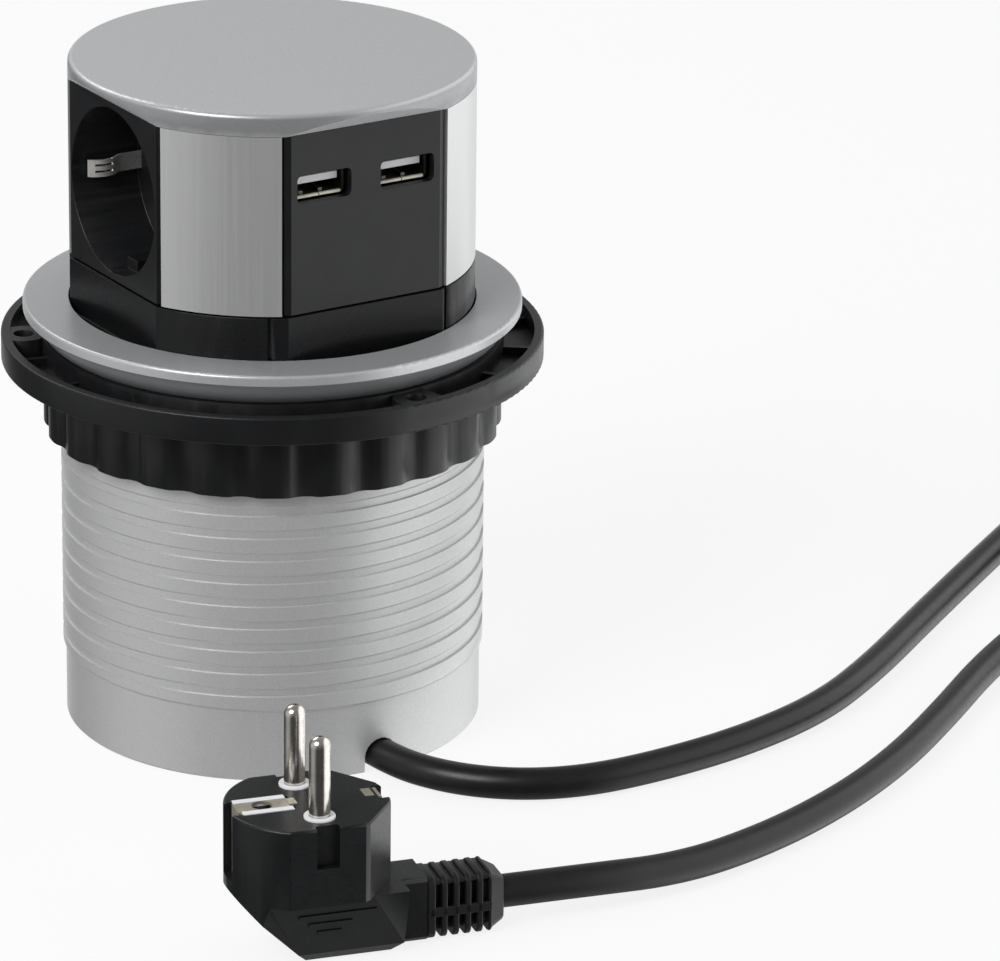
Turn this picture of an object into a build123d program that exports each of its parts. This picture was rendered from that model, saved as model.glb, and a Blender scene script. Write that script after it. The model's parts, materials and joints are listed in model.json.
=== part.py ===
from build123d import *
import math
import os

# Pop up desk socket: a tube that hangs in a desk hole, and a head that is pulled up out of it.
# Frame: Z up, origin on the floor at the middle of the tube, the two port face looks along -Y.

# Clearances
SLIDE_GAP = 0.35            # round faces that slide past each other
SEAT_GAP = 0.1              # pieces of one body beside each other
CUT = 1.0                   # overrun of every cut

# Recess of a socket, a size that plugs fix, which the head is built round
RECESS_R = 19.8
RECESS_DEPTH = 17.5
CUP_WALL = 1.0
CUP_R = RECESS_R + CUP_WALL
CUP_FLOOR = 2.2

# Head outline
FACE_SIDE = 0.4             # face plate beside the cup
FACE_END = 0.7              # face plate above and below the cup
CORNER_ROOM = 2.0           # between the cups of two faces
FACE_D = RECESS_DEPTH + CUP_FLOOR + CUP_R + CORNER_ROOM  # flat faces, from the axis
HEAD_R = round(math.hypot(FACE_D, CUP_R + FACE_SIDE), 1)
FACE_HALF_W = math.sqrt(HEAD_R ** 2 - FACE_D ** 2)
FACE_H = 2 * (CUP_R + FACE_END)
FACE_T = 2.0
FACE_CHAMFER = 0.7
PANEL_T = 1.5
CORNER_DEG = 45.0
PANEL_HALF_DEG = CORNER_DEG - math.degrees(math.asin(FACE_HALF_W / HEAD_R) + SEAT_GAP / HEAD_R)

# Heights of the tower, head raised
CAP_H = 5.2
HEAD_RISE = 10.4            # foot of the faces above the flange ring
HEAD_TRAVEL = HEAD_RISE + FACE_H + CAP_H  # lowered, the cap is flush with the ring
CARRIAGE_DEPTH = 19.6       # carriage below the top of the ring
FOOT_ROOM = 25.4            # left below the carriage when the head is down
RING_TOP_Z = FOOT_ROOM + CARRIAGE_DEPTH + HEAD_TRAVEL
HEAD_LOW_Z = RING_TOP_Z + HEAD_RISE
HEAD_TOP_Z = HEAD_LOW_Z + FACE_H
HEAD_MID_Z = (HEAD_TOP_Z + HEAD_LOW_Z) / 2
CAP_TOP_Z = HEAD_TOP_Z + CAP_H

# Outer tube, with its outside thread drawn at full height
TUBE_GAP = 0.9              # round the head
TUBE_WALL = 1.6
THREAD_DEPTH = 0.7
FOOT_WALL = 3.1
TUBE_BORE_R = HEAD_R + TUBE_GAP
TUBE_R = TUBE_BORE_R + TUBE_WALL      # over the thread
TUBE_PLAIN_R = TUBE_R - THREAD_DEPTH  # plain foot
TUBE_FOOT_BORE_R = TUBE_PLAIN_R - FOOT_WALL
TUBE_PLAIN_H = 17.6
TUBE_FOOT_EDGE = 0.5

# Flange ring
RING_REACH = 8.6            # outside the tube
RING_GAP = 0.4              # round the head, narrower than the tube's, which stops the head at the top
RING_R = TUBE_R + RING_REACH
RING_BORE_R = HEAD_R + RING_GAP
RING_LIP = 2.4
RING_EDGE = 0.7
COLLAR_INSET = 2.0
COLLAR_WALL = 3.0
COLLAR_TOP_R = RING_R - COLLAR_INSET
COLLAR_LOW_R = TUBE_R + COLLAR_WALL
COLLAR_H = 5.8
COLLAR_LOW_Z = RING_TOP_Z - RING_LIP - COLLAR_H
TUBE_TOP_Z = RING_TOP_Z - RING_LIP

# Mounting ring below the desk
MOUNT_REACH = 13.8          # outside the tube
MOUNT_R = TUBE_R + MOUNT_REACH
MOUNT_H = 6.6
MOUNT_FLOOR = 1.8
MOUNT_RIM = 2.2
MOUNT_HUB_WALL = 4.4
MOUNT_HUB_R = TUBE_R + MOUNT_HUB_WALL
MOUNT_GAP = 0.1             # up to the collar
MOUNT_TOP_Z = COLLAR_LOW_Z - MOUNT_GAP
MOUNT_LOW_Z = MOUNT_TOP_Z - MOUNT_H
MOUNT_EDGE = 0.5
BOSS_INSET = 5.3
BOSS_PCD = 2 * (MOUNT_R - BOSS_INSET)
BOSS_R = 5.4
BOSS_HOLE_R = 2.4
BOSS_COUNT = 3
BOSS_FIRST_DEG = -86.0
BOSS_DROP = 0.3
RIB_COUNT = 18
RIB_T = 1.3
RIB_DROP = 3.0

# Clamping nut
NUT_REACH = 4.0             # outside the tube
NUT_R = TUBE_R + NUT_REACH
NUT_LOBES = 24
NUT_VALLEY = 1.5            # depth of the valleys between the lobes
NUT_H = 16.4
NUT_GAP = 0.2
NUT_EDGE = 0.7
NUT_TOP_Z = MOUNT_LOW_Z - NUT_GAP
NUT_LOW_Z = NUT_TOP_Z - NUT_H
NUT_LOBE_SHARE = 0.30       # half of a lobe's crest, as a share of its pitch

# Cap
CAP_EDGE = 1.3
CAP_TOP_T = 2.6
CAP_WALL = 3.2
CAP_ARCH_H = 3.7            # height of the arch over each flat face

# Core housing that carries faces, panels and cap
CORE_WALL = 2.2
CORE_PLATE = 2.4
CORE_R = HEAD_R - PANEL_T
CORE_D = FACE_D - FACE_T
POST_HALF_W = FACE_HALF_W + SLIDE_GAP
CORE_LOW_Z = HEAD_LOW_Z - SLIDE_GAP

# Carriage that slides in the tube
FLAT_LEDGE = 0.3            # flats of the carriage, out past the faces
CARRIAGE_FLAT_D = FACE_D + FLAT_LEDGE
CARRIAGE_WALL = 2.6
CARRIAGE_PLATE = 3.0
CARRIAGE_LOW_Z = RING_TOP_Z - CARRIAGE_DEPTH
CARRIAGE_GUIDE_R = TUBE_BORE_R - SLIDE_GAP
CARRIAGE_GUIDE_TOP_Z = TUBE_TOP_Z - SLIDE_GAP
CARRIAGE_LEAD_R = 8.0
GROOVE_W = 0.8
GROOVE_DEPTH = 0.6
GROOVE_DEGS = (-121.0, -63.0, -160.5, 29.0, 110.0, 151.0)
FRICTION_RING_T = 2.4
FRICTION_RING_R = CARRIAGE_GUIDE_R
FRICTION_RING_RISE = 4.0
FRICTION_RING_Z = CARRIAGE_LOW_Z + FRICTION_RING_RISE

# Contacts and guides of the sockets
PIN_SPACING = 19.0
PIN_R = 2.4
PIN_L = 19.0
PIN_ROOT_R = 2.25           # slightly thinner where the collar grips it
PIN_ROOT_RISE = 0.6
PIN_HOLE_R = 2.6
BOSS_HALF_W = 6.3           # carriers of the sleeves, behind the floor of the recess
BOSS_HALF_H = 4.2
BOSS_END_D = 7.0
SLEEVE_WALL = 0.7
SLEEVE_GAP = 0.1
SLEEVE_END_D = 5.7
SLEEVE_INSET = 3.1
SLEEVE_L = FACE_D - RECESS_DEPTH - CUP_FLOOR - SLEEVE_INSET - SLEEVE_END_D
KEY_HALF_W = 2.4
KEY_RISE = 2.7
KEY_L = 12.5
CLIP_T = 0.8
CLIP_HALF_W = 2.2
CLIP_INSET = 1.4
CLIP_Y = RECESS_R - CLIP_INSET
CLIP_L = 14.0
CLIP_BULGE = 1.9
SOCKET_DEGS = {"right": 0.0, "rear": 90.0, "left": 180.0}
BUS_HALF = 5.5
BUS_HALF_H = 1.6

# Port face with two charging ports
PORT_SIDE = 10.2            # middle of a port, in from the edge of its face
PORT_X = round(FACE_HALF_W - PORT_SIDE, 1)
PORT_RISE = 8.3             # above the middle of the face
PORT_HOLE_W = 14.2
PORT_HOLE_H = 6.7
PORT_HOLE_EDGE = 1.3
PORT_W = 13.2
PORT_H = 5.8
PORT_L = 13.8
PORT_WALL = 0.45
PORT_EDGE = 0.6
PORT_INSET = 0.7
TONGUE_W = 11.2
TONGUE_T = 1.9
TONGUE_L = 9.0
TONGUE_RISE = 1.3
BOARD_W = 37.0
BOARD_H = 35.0
BOARD_T = 1.6
BOARD_DROP = 4.0            # board middle below the ports
TRANSFORMER = (17.0, 13.0, 15.0)
TRANSFORMER_DROP = 15.0
TRANSFORMER_EDGE = 1.2
CAPACITOR_R = 4.0
CAPACITOR_L = 11.0
CAPACITOR_X = 12.5

# Bottom cover, its screws, the gland of the cord and the clamp of the inner lead
COVER_LOW_Z = 9.0
COVER_T = 3.0
COVER_TOP_Z = COVER_LOW_Z + COVER_T
COVER_R = TUBE_FOOT_BORE_R - SEAT_GAP
SHELF_REACH = 6.7
SHELF_BORE_R = TUBE_FOOT_BORE_R - SHELF_REACH  # shelf in the tube that the cover is screwed to
SHELF_LOW_Z = COVER_TOP_Z + SEAT_GAP
SHELF_TOP_Z = SHELF_LOW_Z + COVER_T
SCREW_R = 1.5
SCREW_HEAD_R = 2.9
SCREW_HEAD_H = 1.6
SCREW_SLOT_W = 0.7
SCREW_SLOT_DEPTH = 0.6
COVER_SCREW_INSET = 3.2
COVER_SCREW_R = TUBE_FOOT_BORE_R - COVER_SCREW_INSET
COVER_SCREW_DEGS = (0.0, 90.0, 180.0, 300.0)
HEAD_SCREW_INSET = 8.5
HEAD_SCREW_R = HEAD_R - HEAD_SCREW_INSET
HEAD_SCREW_DEGS = (135.0, 315.0)
HEAD_SCREW_L = 9.0
HEAD_POST_R = 4.2
CORE_BOSS_R = 3.2
GLAND_L = 16.0
GLAND_HALF_W = 7.0
GLAND_EDGE = 1.5
NOTCH_GAP = 0.5             # round the cord, in the arched notch of the tube
CLAMP_L = 12.0
CLAMP_W = 18.0
CLAMP_H = 8.0
CLAMP_EDGE = 1.5
CLAMP_SCREW_DX = 6.0
LUG_L = 9.0
LUG_W = 9.0
LUG_H = 8.0

# Cords: mains cord on the floor, and the loose lead inside the tube
CORD_R = 3.8
CORD_Z = 3.85
LEAD_R = 3.0
LEAD_INSET = 20.2           # middle of the loose lead, in from the foot's bore
LEAD_COIL_R = TUBE_FOOT_BORE_R - LEAD_INSET
LEAD_TURNS = 2
LEAD_START_DEG = 200.0
LEAD_LOW_Z = COVER_TOP_Z + LEAD_R + SEAT_GAP
LEAD_TOP_Z = CARRIAGE_LOW_Z - LEAD_R - SEAT_GAP

# Route of the cord from the gland to the coil, and from the coil's far end to the plug
CORD_FROM_TUBE = [
    (0.6, -37.0, CORD_Z), (0.6, -52.8, CORD_Z), (6.3, -68.2, CORD_Z), (17.2, -79.9, CORD_Z),
    (32.0, -86.6, CORD_Z), (51.0, -88.0, CORD_Z), (78.0, -85.6, CORD_Z), (106.2, -77.6, CORD_Z),
    (132.5, -62.0, CORD_Z), (161.5, -41.5, CORD_Z), (205.05, -11.7, CORD_Z), (249.66, 17.81, CORD_Z),
]
CORD_TO_PLUG = [
    (277.4, -74.48, 12.05), (257.4, -74.48, 12.05), (231.0, -68.0, 6.4), (204.5, -59.5, CORD_Z),
    (179.0, -61.5, CORD_Z), (154.0, -77.0, CORD_Z), (130.0, -95.0, CORD_Z), (105.5, -112.0, CORD_Z),
    (80.0, -125.8, CORD_Z), (52.0, -136.0, CORD_Z), (24.0, -142.4, 4.9), (-2.12, -141.71, 7.5),
    (-21.57, -137.04, 7.5),
]
COIL_START = (256.0, 22.0, CORD_Z)
COIL_START_DEG = 33.5
COIL_PITCH = 8.2            # between turns beside each other, and between the two layers
COIL_MIDDLE_R = 40.3
COIL_HALF_TURNS = 5         # in each layer, plus the half turn that climbs
LOOP_SAMPLES = 24           # points of each half turn for measuring the gap

# Plug, in its own frame: middle of its foot on the floor, cord along +X
PLUG_X = -64.84
PLUG_Y = -126.65
PLUG_DEG = -13.5
PLUG_H = 35.0
PLUG_R = 18.4
PLUG_HEAD_H = 18.5
PLUG_FLAT_CUT = 2.1         # front and back flats
PLUG_FLAT_D = PLUG_R - PLUG_FLAT_CUT
PLUG_FACET_CUT = 1.1        # slanted facets on the cord side
PLUG_FACET_D = PLUG_R - PLUG_FACET_CUT
PLUG_FACET_DEG = 38.0
PLUG_EDGE = 0.6
FIN_LEFT_X = -2.4
FIN_RIGHT_X = 17.2
FIN_HALF_W = 7.1
FIN_TOP_HALF_W = 13.6
FIN_CHAMFER = 2.4
PLUG_NECK_X = 26.0
PLUG_NECK_TOP = 15.6
PLUG_NECK_LOW = 0.5
PLUG_NECK_HALF_W = 5.9
NECK_EDGE = 1.0
RELIEF_END_X = 44.5
RELIEF_Z = 7.5
RELIEF_HALF_W = 5.8
RELIEF_HALF_H = 7.3
RELIEF_EDGE = 2.2
RELIEF_TIP_L = 4.5
RELIEF_TIP_SHARE = 0.72     # size of the tip, as a share of the relief
RELIEF_SLOTS = 5
RELIEF_SLOT_W = 1.5
RELIEF_SLOT_PITCH = 2.75
RELIEF_SLOT_DEPTH = 2.0
RELIEF_SLOT_H = 4.6
RELIEF_SLOT_RISE = 3.9
RELIEF_SLOT_X = 28.0
PLUG_GROOVE_HALF_W = 2.6
PLUG_GROOVE_DEPTH = 1.8
PLUG_GROOVE_L = 9.5
COLLAR_RING_R = 3.5
COLLAR_RING_T = 0.5
COLLAR_RING_SINK = 1.5
EARTH_SLOT_HALF_W = 3.4
EARTH_SLOT_DEPTH = 1.7
EARTH_SLOT_L = 16.0
EARTH_FRAME_X = 10.3        # middle of the white frame, on the side away from the cord
EARTH_FRAME_L = 13.4
EARTH_FRAME_W = 7.0
EARTH_FRAME_T = 1.2
EARTH_PLATE_L = 11.8
EARTH_PLATE_W = 4.6
EARTH_PLATE_T = 0.6
EARTH_HOLE_R = 2.3
EARTH_TAB_W = 2.6
EARTH_TAB_T = 0.8

PARTS = {}


def tube(r_out, r_in, z_low, z_top):
    """Upright ring between two radii and two heights."""
    height = z_top - z_low
    ring = Cylinder(r_out, height) - Cylinder(r_in, height + CUT)
    return Pos(0, 0, (z_low + z_top) / 2) * ring


def disc(radius, z_low, z_top, x=0, y=0):
    """Upright solid cylinder between two heights."""
    return Pos(x, y, (z_low + z_top) / 2) * Cylinder(radius, z_top - z_low)


def block(x0, x1, y0, y1, z0, z1):
    """Box between two corners."""
    middle = Pos((x0 + x1) / 2, (y0 + y1) / 2, (z0 + z1) / 2)
    return middle * Box(x1 - x0, y1 - y0, z1 - z0)


def polar(radius, degrees):
    """Point on a circle round the tower's axis."""
    angle = math.radians(degrees)
    return radius * math.cos(angle), radius * math.sin(angle)


def turned(shape, degrees):
    return Rot(0, 0, degrees) * shape


def revolved(points):
    """Solid of revolution round the tower's axis from a closed outline of radius and height."""
    outline = Polyline([(r, 0, z) for r, z in points], close=True)
    return revolve(make_face(outline), Axis.Z)


def at_cord_exit(shape):
    """Put a piece where the cord leaves its gland, with its +X along the cord."""
    start, second = CORD_FROM_TUBE[0], CORD_FROM_TUBE[1]
    heading = math.degrees(math.atan2(second[1] - start[1], second[0] - start[0]))
    return Pos(start[0], start[1], 0) * turned(shape, heading)


def outer_tube():
    """Tube with a plain thick foot, a shelf for the bottom cover and an arched notch for the cord."""
    foot = TUBE_PLAIN_H
    profile = [
        (TUBE_FOOT_BORE_R, 0), (TUBE_PLAIN_R - TUBE_FOOT_EDGE, 0), (TUBE_PLAIN_R, TUBE_FOOT_EDGE),
        (TUBE_PLAIN_R, foot), (TUBE_R, foot + TUBE_R - TUBE_PLAIN_R), (TUBE_R, TUBE_TOP_Z),
        (TUBE_BORE_R, TUBE_TOP_Z), (TUBE_BORE_R, SHELF_TOP_Z), (SHELF_BORE_R, SHELF_TOP_Z),
        (SHELF_BORE_R, SHELF_LOW_Z), (TUBE_FOOT_BORE_R, SHELF_LOW_Z),
    ]
    notch_r = CORD_R + NOTCH_GAP
    arch = Pos(TUBE_R / 2, 0, CORD_Z) * Rot(0, 90, 0) * Cylinder(notch_r, TUBE_R)
    notch = arch + block(0, TUBE_R, -notch_r, notch_r, -CUT, CORD_Z)
    body = revolved(profile) - at_cord_exit(notch)
    for degrees in COVER_SCREW_DEGS:
        x, y = polar(COVER_SCREW_R, degrees)
        body -= disc(SCREW_R + SEAT_GAP, SHELF_LOW_Z - CUT, SHELF_TOP_Z + CUT, x, y)
    return body


def flange_ring():
    """Flange that lies on the desk, with its rounded lip and the bowl below it."""
    low = RING_TOP_Z - RING_LIP
    lip = fillet(tube(RING_R, RING_BORE_R, low, RING_TOP_Z).edges()
                 .filter_by(GeomType.CIRCLE).group_by(Axis.Z)[-1].sort_by(SortBy.RADIUS)[-1:], RING_EDGE)
    inner = TUBE_R + SEAT_GAP
    middle = ((COLLAR_TOP_R + COLLAR_LOW_R) / 2 + RING_EDGE, low - COLLAR_H / 2)
    bowl = make_face([
        ThreePointArc((COLLAR_TOP_R, 0, low), (middle[0], 0, middle[1]), (COLLAR_LOW_R, 0, COLLAR_LOW_Z)),
        Polyline((COLLAR_LOW_R, 0, COLLAR_LOW_Z), (inner, 0, COLLAR_LOW_Z), (inner, 0, low), (COLLAR_TOP_R, 0, low)),
    ])
    return lip + revolve(bowl, Axis.Z)


def mounting_ring():
    """Ring below the desk: open channel with radial ribs and three screw bosses."""
    bore = TUBE_R + SLIDE_GAP
    ring = tube(MOUNT_R, bore, MOUNT_LOW_Z, MOUNT_TOP_Z)
    outer_edges = ring.edges().filter_by(GeomType.CIRCLE).sort_by(SortBy.RADIUS)[-2:]
    ring = fillet(outer_edges, MOUNT_EDGE)
    floor_z = MOUNT_LOW_Z + MOUNT_FLOOR
    ring -= tube(MOUNT_R - MOUNT_RIM, MOUNT_HUB_R, floor_z, MOUNT_TOP_Z + CUT)
    inside, outside = MOUNT_HUB_R - MOUNT_RIM / 2, MOUNT_R - MOUNT_RIM / 2
    for i in range(RIB_COUNT):
        step = 360 / RIB_COUNT
        rib = block(inside, outside, -RIB_T / 2, RIB_T / 2, MOUNT_LOW_Z, MOUNT_TOP_Z - RIB_DROP)
        ring += turned(rib, BOSS_FIRST_DEG + step / 2 + step * i)
    for i in range(BOSS_COUNT):
        x, y = polar(BOSS_PCD / 2, BOSS_FIRST_DEG + 360 / BOSS_COUNT * i)
        boss = disc(BOSS_R, MOUNT_LOW_Z, MOUNT_TOP_Z - BOSS_DROP, x, y)
        limit = tube(MOUNT_R - MOUNT_EDGE, bore + CUT, MOUNT_LOW_Z, MOUNT_TOP_Z)
        ring += boss & limit
        ring -= disc(BOSS_HOLE_R, MOUNT_LOW_Z - CUT, MOUNT_TOP_Z + CUT, x, y)
    return ring


def clamp_nut():
    """Large plastic nut with rounded lobes all round."""
    step = 360 / NUT_LOBES
    valley_r = NUT_R - NUT_VALLEY
    shoulder_r = NUT_R - NUT_VALLEY / 2
    curves = []
    for i in range(NUT_LOBES):
        middle = step * i
        left = polar(shoulder_r, middle - step * NUT_LOBE_SHARE)
        right = polar(shoulder_r, middle + step * NUT_LOBE_SHARE)
        following = polar(shoulder_r, middle + step - step * NUT_LOBE_SHARE)
        curves.append(ThreePointArc(left, polar(NUT_R, middle), right))
        curves.append(ThreePointArc(right, polar(valley_r, middle + step / 2), following))
    nut = Pos(0, 0, NUT_LOW_Z) * extrude(make_face(curves), NUT_H)
    limit = disc(NUT_R + SEAT_GAP, NUT_LOW_Z, NUT_TOP_Z)
    limit = fillet(limit.edges().group_by(Axis.Z)[0], NUT_EDGE)
    return nut & limit - disc(TUBE_R + SLIDE_GAP, NUT_LOW_Z - CUT, NUT_TOP_Z + CUT)


def head_prism(radius, flat_d, z_low, z_top):
    """Round prism with four flats, the outline of the head."""
    return disc(radius, z_low, z_top) & block(-flat_d, flat_d, -flat_d, flat_d, z_low, z_top)


def cap():
    """Thick lid with a rounded edge and an arched facet over each flat face."""
    lid = disc(HEAD_R, HEAD_TOP_Z, CAP_TOP_Z)
    lid = fillet(lid.edges().group_by(Axis.Z)[-1], CAP_EDGE)
    lid -= disc(HEAD_R - CAP_WALL, HEAD_TOP_Z - CUT, CAP_TOP_Z - CAP_TOP_T) & block(
        CAP_WALL - FACE_D, FACE_D - CAP_WALL, CAP_WALL - FACE_D, FACE_D - CAP_WALL, HEAD_TOP_Z - CUT, CAP_TOP_Z)
    rise = CAP_ARCH_H / (HEAD_R - FACE_D)
    far = HEAD_R + CUT
    facet = make_face(Polyline(
        (FACE_D, 0, HEAD_TOP_Z), (FACE_D, 0, HEAD_TOP_Z - CUT), (far, 0, HEAD_TOP_Z - CUT),
        (far, 0, HEAD_TOP_Z + rise * (far - FACE_D)), close=True))
    facet = extrude(facet, HEAD_R, both=True)
    for i in range(4):
        lid -= turned(facet, 90 * i)
    return lid


def side_panel(degrees):
    """Curved metal panel on a corner of the head."""
    z_low, z_top = HEAD_LOW_Z + SEAT_GAP, HEAD_TOP_Z - SEAT_GAP
    ring = tube(HEAD_R, CORE_R + SEAT_GAP, z_low, z_top)
    half = math.radians(PANEL_HALF_DEG)
    far = HEAD_R + CUT
    wedge = make_face(Polyline(
        (0, 0), (far / math.cos(half), -far * math.tan(half)), (far / math.cos(half), far * math.tan(half)),
        close=True))
    wedge = extrude(Pos(0, 0, z_low - CUT) * wedge, z_top - z_low + 2 * CUT)
    return turned(ring & wedge, degrees)


def core_housing():
    """Frame inside the head: four corner posts between an upper and a lower plate."""
    low, top = CORE_LOW_Z, HEAD_TOP_Z
    core = head_prism(CORE_R, CORE_D, low, low + CORE_PLATE)
    core += head_prism(CORE_R, CORE_D, top - CORE_PLATE, top)
    posts = tube(CORE_R, CORE_R - CORE_WALL, low, top)
    gap = POST_HALF_W
    posts -= block(-HEAD_R, HEAD_R, -gap, gap, low - CUT, top + CUT)
    posts -= block(-gap, gap, -HEAD_R, HEAD_R, low - CUT, top + CUT)
    core += posts
    core -= disc(CARRIAGE_LEAD_R, low - CUT, low + CORE_PLATE + CUT)
    for degrees in SOCKET_DEGS.values():
        cup = Pos(FACE_D / 2, 0, HEAD_MID_Z) * Rot(0, 90, 0) * Cylinder(CUP_R + SEAT_GAP, FACE_D)
        core -= turned(cup & block(FACE_D / 2, FACE_D, -CUP_R, CUP_R, low, top), degrees)
    for degrees in HEAD_SCREW_DEGS:
        x, y = polar(HEAD_SCREW_R, degrees)
        core += disc(CORE_BOSS_R, low, low + HEAD_SCREW_L, x, y)
        core -= disc(SCREW_R, low - CUT, low + HEAD_SCREW_L - CORE_PLATE, x, y)
    return core


def carriage():
    """Sliding foot of the head, faceted above, with a wider round guide that stops below the flange ring."""
    low, top = CARRIAGE_LOW_Z, CORE_LOW_Z
    shoulder = CARRIAGE_GUIDE_TOP_Z
    body = head_prism(HEAD_R, CARRIAGE_FLAT_D, shoulder, top) + disc(CARRIAGE_GUIDE_R, low, shoulder)
    inner_r, inner_d = HEAD_R - CARRIAGE_WALL, CARRIAGE_FLAT_D - CARRIAGE_WALL
    body -= head_prism(inner_r, inner_d, low + CARRIAGE_PLATE, top + CUT)
    groove_r = FRICTION_RING_R - FRICTION_RING_T
    half = FRICTION_RING_T / 2 + SEAT_GAP
    body -= tube(CARRIAGE_GUIDE_R + CUT, groove_r, FRICTION_RING_Z - half, FRICTION_RING_Z + half)
    body -= disc(CARRIAGE_LEAD_R, low - CUT, low + CARRIAGE_PLATE + CUT)
    for degrees in HEAD_SCREW_DEGS:
        x, y = polar(HEAD_SCREW_R, degrees)
        body += disc(HEAD_POST_R, low, top, x, y)
        body -= disc(SCREW_R + SEAT_GAP, low - CUT, top + CUT, x, y)
        body -= disc(SCREW_HEAD_R + SEAT_GAP, low - CUT, top - CARRIAGE_PLATE, x, y)
    for degrees in GROOVE_DEGS:
        cutter = block(HEAD_R - GROOVE_DEPTH, HEAD_R + CUT, -GROOVE_W / 2, GROOVE_W / 2, shoulder, top + CUT)
        body -= turned(cutter, degrees)
    return body + lead_lug()


def lead_end(z, start):
    """Middle of the inner lead's lower or upper end face, and its heading in degrees."""
    degrees = LEAD_START_DEG
    x, y = polar(LEAD_COIL_R, degrees)
    heading = degrees + 90
    side = -1 if start else 1
    dx, dy = polar(2 * LEAD_R * side, heading)
    return (x + dx, y + dy, z), heading


def lead_lug():
    """Lug below the carriage that the inner lead ends at."""
    (x, y, z), heading = lead_end(LEAD_TOP_Z, False)
    lug = block(0, LUG_L, -LUG_W / 2, LUG_W / 2, CARRIAGE_LOW_Z - LUG_H, CARRIAGE_LOW_Z + CARRIAGE_PLATE / 2)
    return Pos(x, y, 0) * turned(lug, heading)


def friction_ring():
    """Rubber ring in the carriage's groove, which holds the head at any height."""
    outer, inner = FRICTION_RING_R, FRICTION_RING_R - FRICTION_RING_T + SEAT_GAP
    half = FRICTION_RING_T / 2
    ring = tube(outer, inner, FRICTION_RING_Z - half, FRICTION_RING_Z + half)
    edges = ring.edges().filter_by(GeomType.CIRCLE).sort_by(SortBy.RADIUS)[-2:]
    return fillet(edges, half - SEAT_GAP)


def screw(x, y, z_head, length, up):
    """Slotted screw whose head bears at z_head, pointing up or down."""
    way = 1 if up else -1
    head_far, shank_far = z_head - way * SCREW_HEAD_H, z_head + way * length
    body = disc(SCREW_HEAD_R, min(z_head, head_far), max(z_head, head_far), x, y)
    body += disc(SCREW_R, min(z_head, shank_far), max(z_head, shank_far), x, y)
    slot_in = head_far + way * SCREW_SLOT_DEPTH
    slot = block(-SCREW_HEAD_R, SCREW_HEAD_R, -SCREW_SLOT_W / 2, SCREW_SLOT_W / 2,
                 min(head_far - way * CUT, slot_in), max(head_far - way * CUT, slot_in))
    return body - Pos(x, y, 0) * slot


def head_screws():
    """Two screws from below that hold the carriage to the core."""
    seat = CORE_LOW_Z - CARRIAGE_PLATE
    length = CARRIAGE_PLATE + HEAD_SCREW_L - CORE_PLATE - SCREW_R
    return [screw(*polar(HEAD_SCREW_R, a), seat, length, True) for a in HEAD_SCREW_DEGS]


def socket_insert(degrees):
    """Face plate with the round recess, its guide keys, pin holes and contact carrier."""
    z0, z1 = HEAD_LOW_Z + SEAT_GAP, HEAD_TOP_Z - SEAT_GAP
    half = FACE_HALF_W - SEAT_GAP
    plate = block(FACE_D - FACE_T, FACE_D, -half, half, z0, z1)
    long_edges = plate.edges().filter_by(Axis.Z).group_by(Axis.X)[-1]
    plate = chamfer(long_edges, FACE_CHAMFER, 2 * FACE_CHAMFER)
    floor_x = FACE_D - RECESS_DEPTH
    back_x = floor_x - CUP_FLOOR
    cup = Rot(0, 90, 0) * Cylinder(CUP_R, FACE_D - FACE_T - back_x)
    insert = plate + Pos((FACE_D - FACE_T + back_x) / 2, 0, HEAD_MID_Z) * cup
    recess = Rot(0, 90, 0) * Cylinder(RECESS_R, RECESS_DEPTH + CUT)
    insert -= Pos(floor_x + (RECESS_DEPTH + CUT) / 2, 0, HEAD_MID_Z) * recess
    for side in (-1, 1):
        key_in, key_out = RECESS_R - KEY_RISE, RECESS_R + SEAT_GAP
        low, high = sorted((side * key_in, side * key_out))
        insert += block(floor_x - SEAT_GAP, floor_x + KEY_L, -KEY_HALF_W, KEY_HALF_W,
                        HEAD_MID_Z + low, HEAD_MID_Z + high)
        z = HEAD_MID_Z + side * PIN_SPACING / 2
        insert += block(BOSS_END_D, back_x, -BOSS_HALF_W, BOSS_HALF_W, z - BOSS_HALF_H, z + BOSS_HALF_H)
        hole = Rot(0, 90, 0) * Cylinder(PIN_HOLE_R, FACE_D)
        insert -= Pos(FACE_D / 2, 0, z) * hole
        seat_l = back_x + CUT - BOSS_END_D
        seat = Rot(0, 90, 0) * Cylinder(PIN_HOLE_R + SLEEVE_WALL + SLEEVE_GAP, seat_l)
        insert -= Pos(BOSS_END_D - CUT + seat_l / 2, 0, z) * seat
        slot_half_h = CLIP_HALF_W + SEAT_GAP
        y0, y1 = sorted((side * (CLIP_Y - CLIP_T / 2 - SEAT_GAP), side * (CLIP_Y + CLIP_T / 2 + SEAT_GAP)))
        insert -= block(back_x - CUT, floor_x + CUT, y0, y1, HEAD_MID_Z - slot_half_h, HEAD_MID_Z + slot_half_h)
    return turned(insert, degrees)


def earth_clip(degrees):
    """Sprung earthing strip across a recess, with a bowed arm on each side."""
    x0 = FACE_D - RECESS_DEPTH - CUP_FLOOR - SEAT_GAP - CLIP_T / 2
    tip = FACE_D - RECESS_DEPTH + CLIP_L
    waist = FACE_D - RECESS_DEPTH + CLIP_L * 2 / 3
    line = Polyline(
        (tip, CLIP_Y), (waist, CLIP_Y - CLIP_BULGE), (waist - CLIP_L / 4, CLIP_Y), (x0, CLIP_Y),
        (x0, -CLIP_Y), (waist - CLIP_L / 4, -CLIP_Y), (waist, CLIP_BULGE - CLIP_Y), (tip, -CLIP_Y))
    strip = extrude(trace(line, CLIP_T), CLIP_HALF_W, both=True)
    return turned(Pos(0, 0, HEAD_MID_Z) * strip, degrees)


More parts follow.
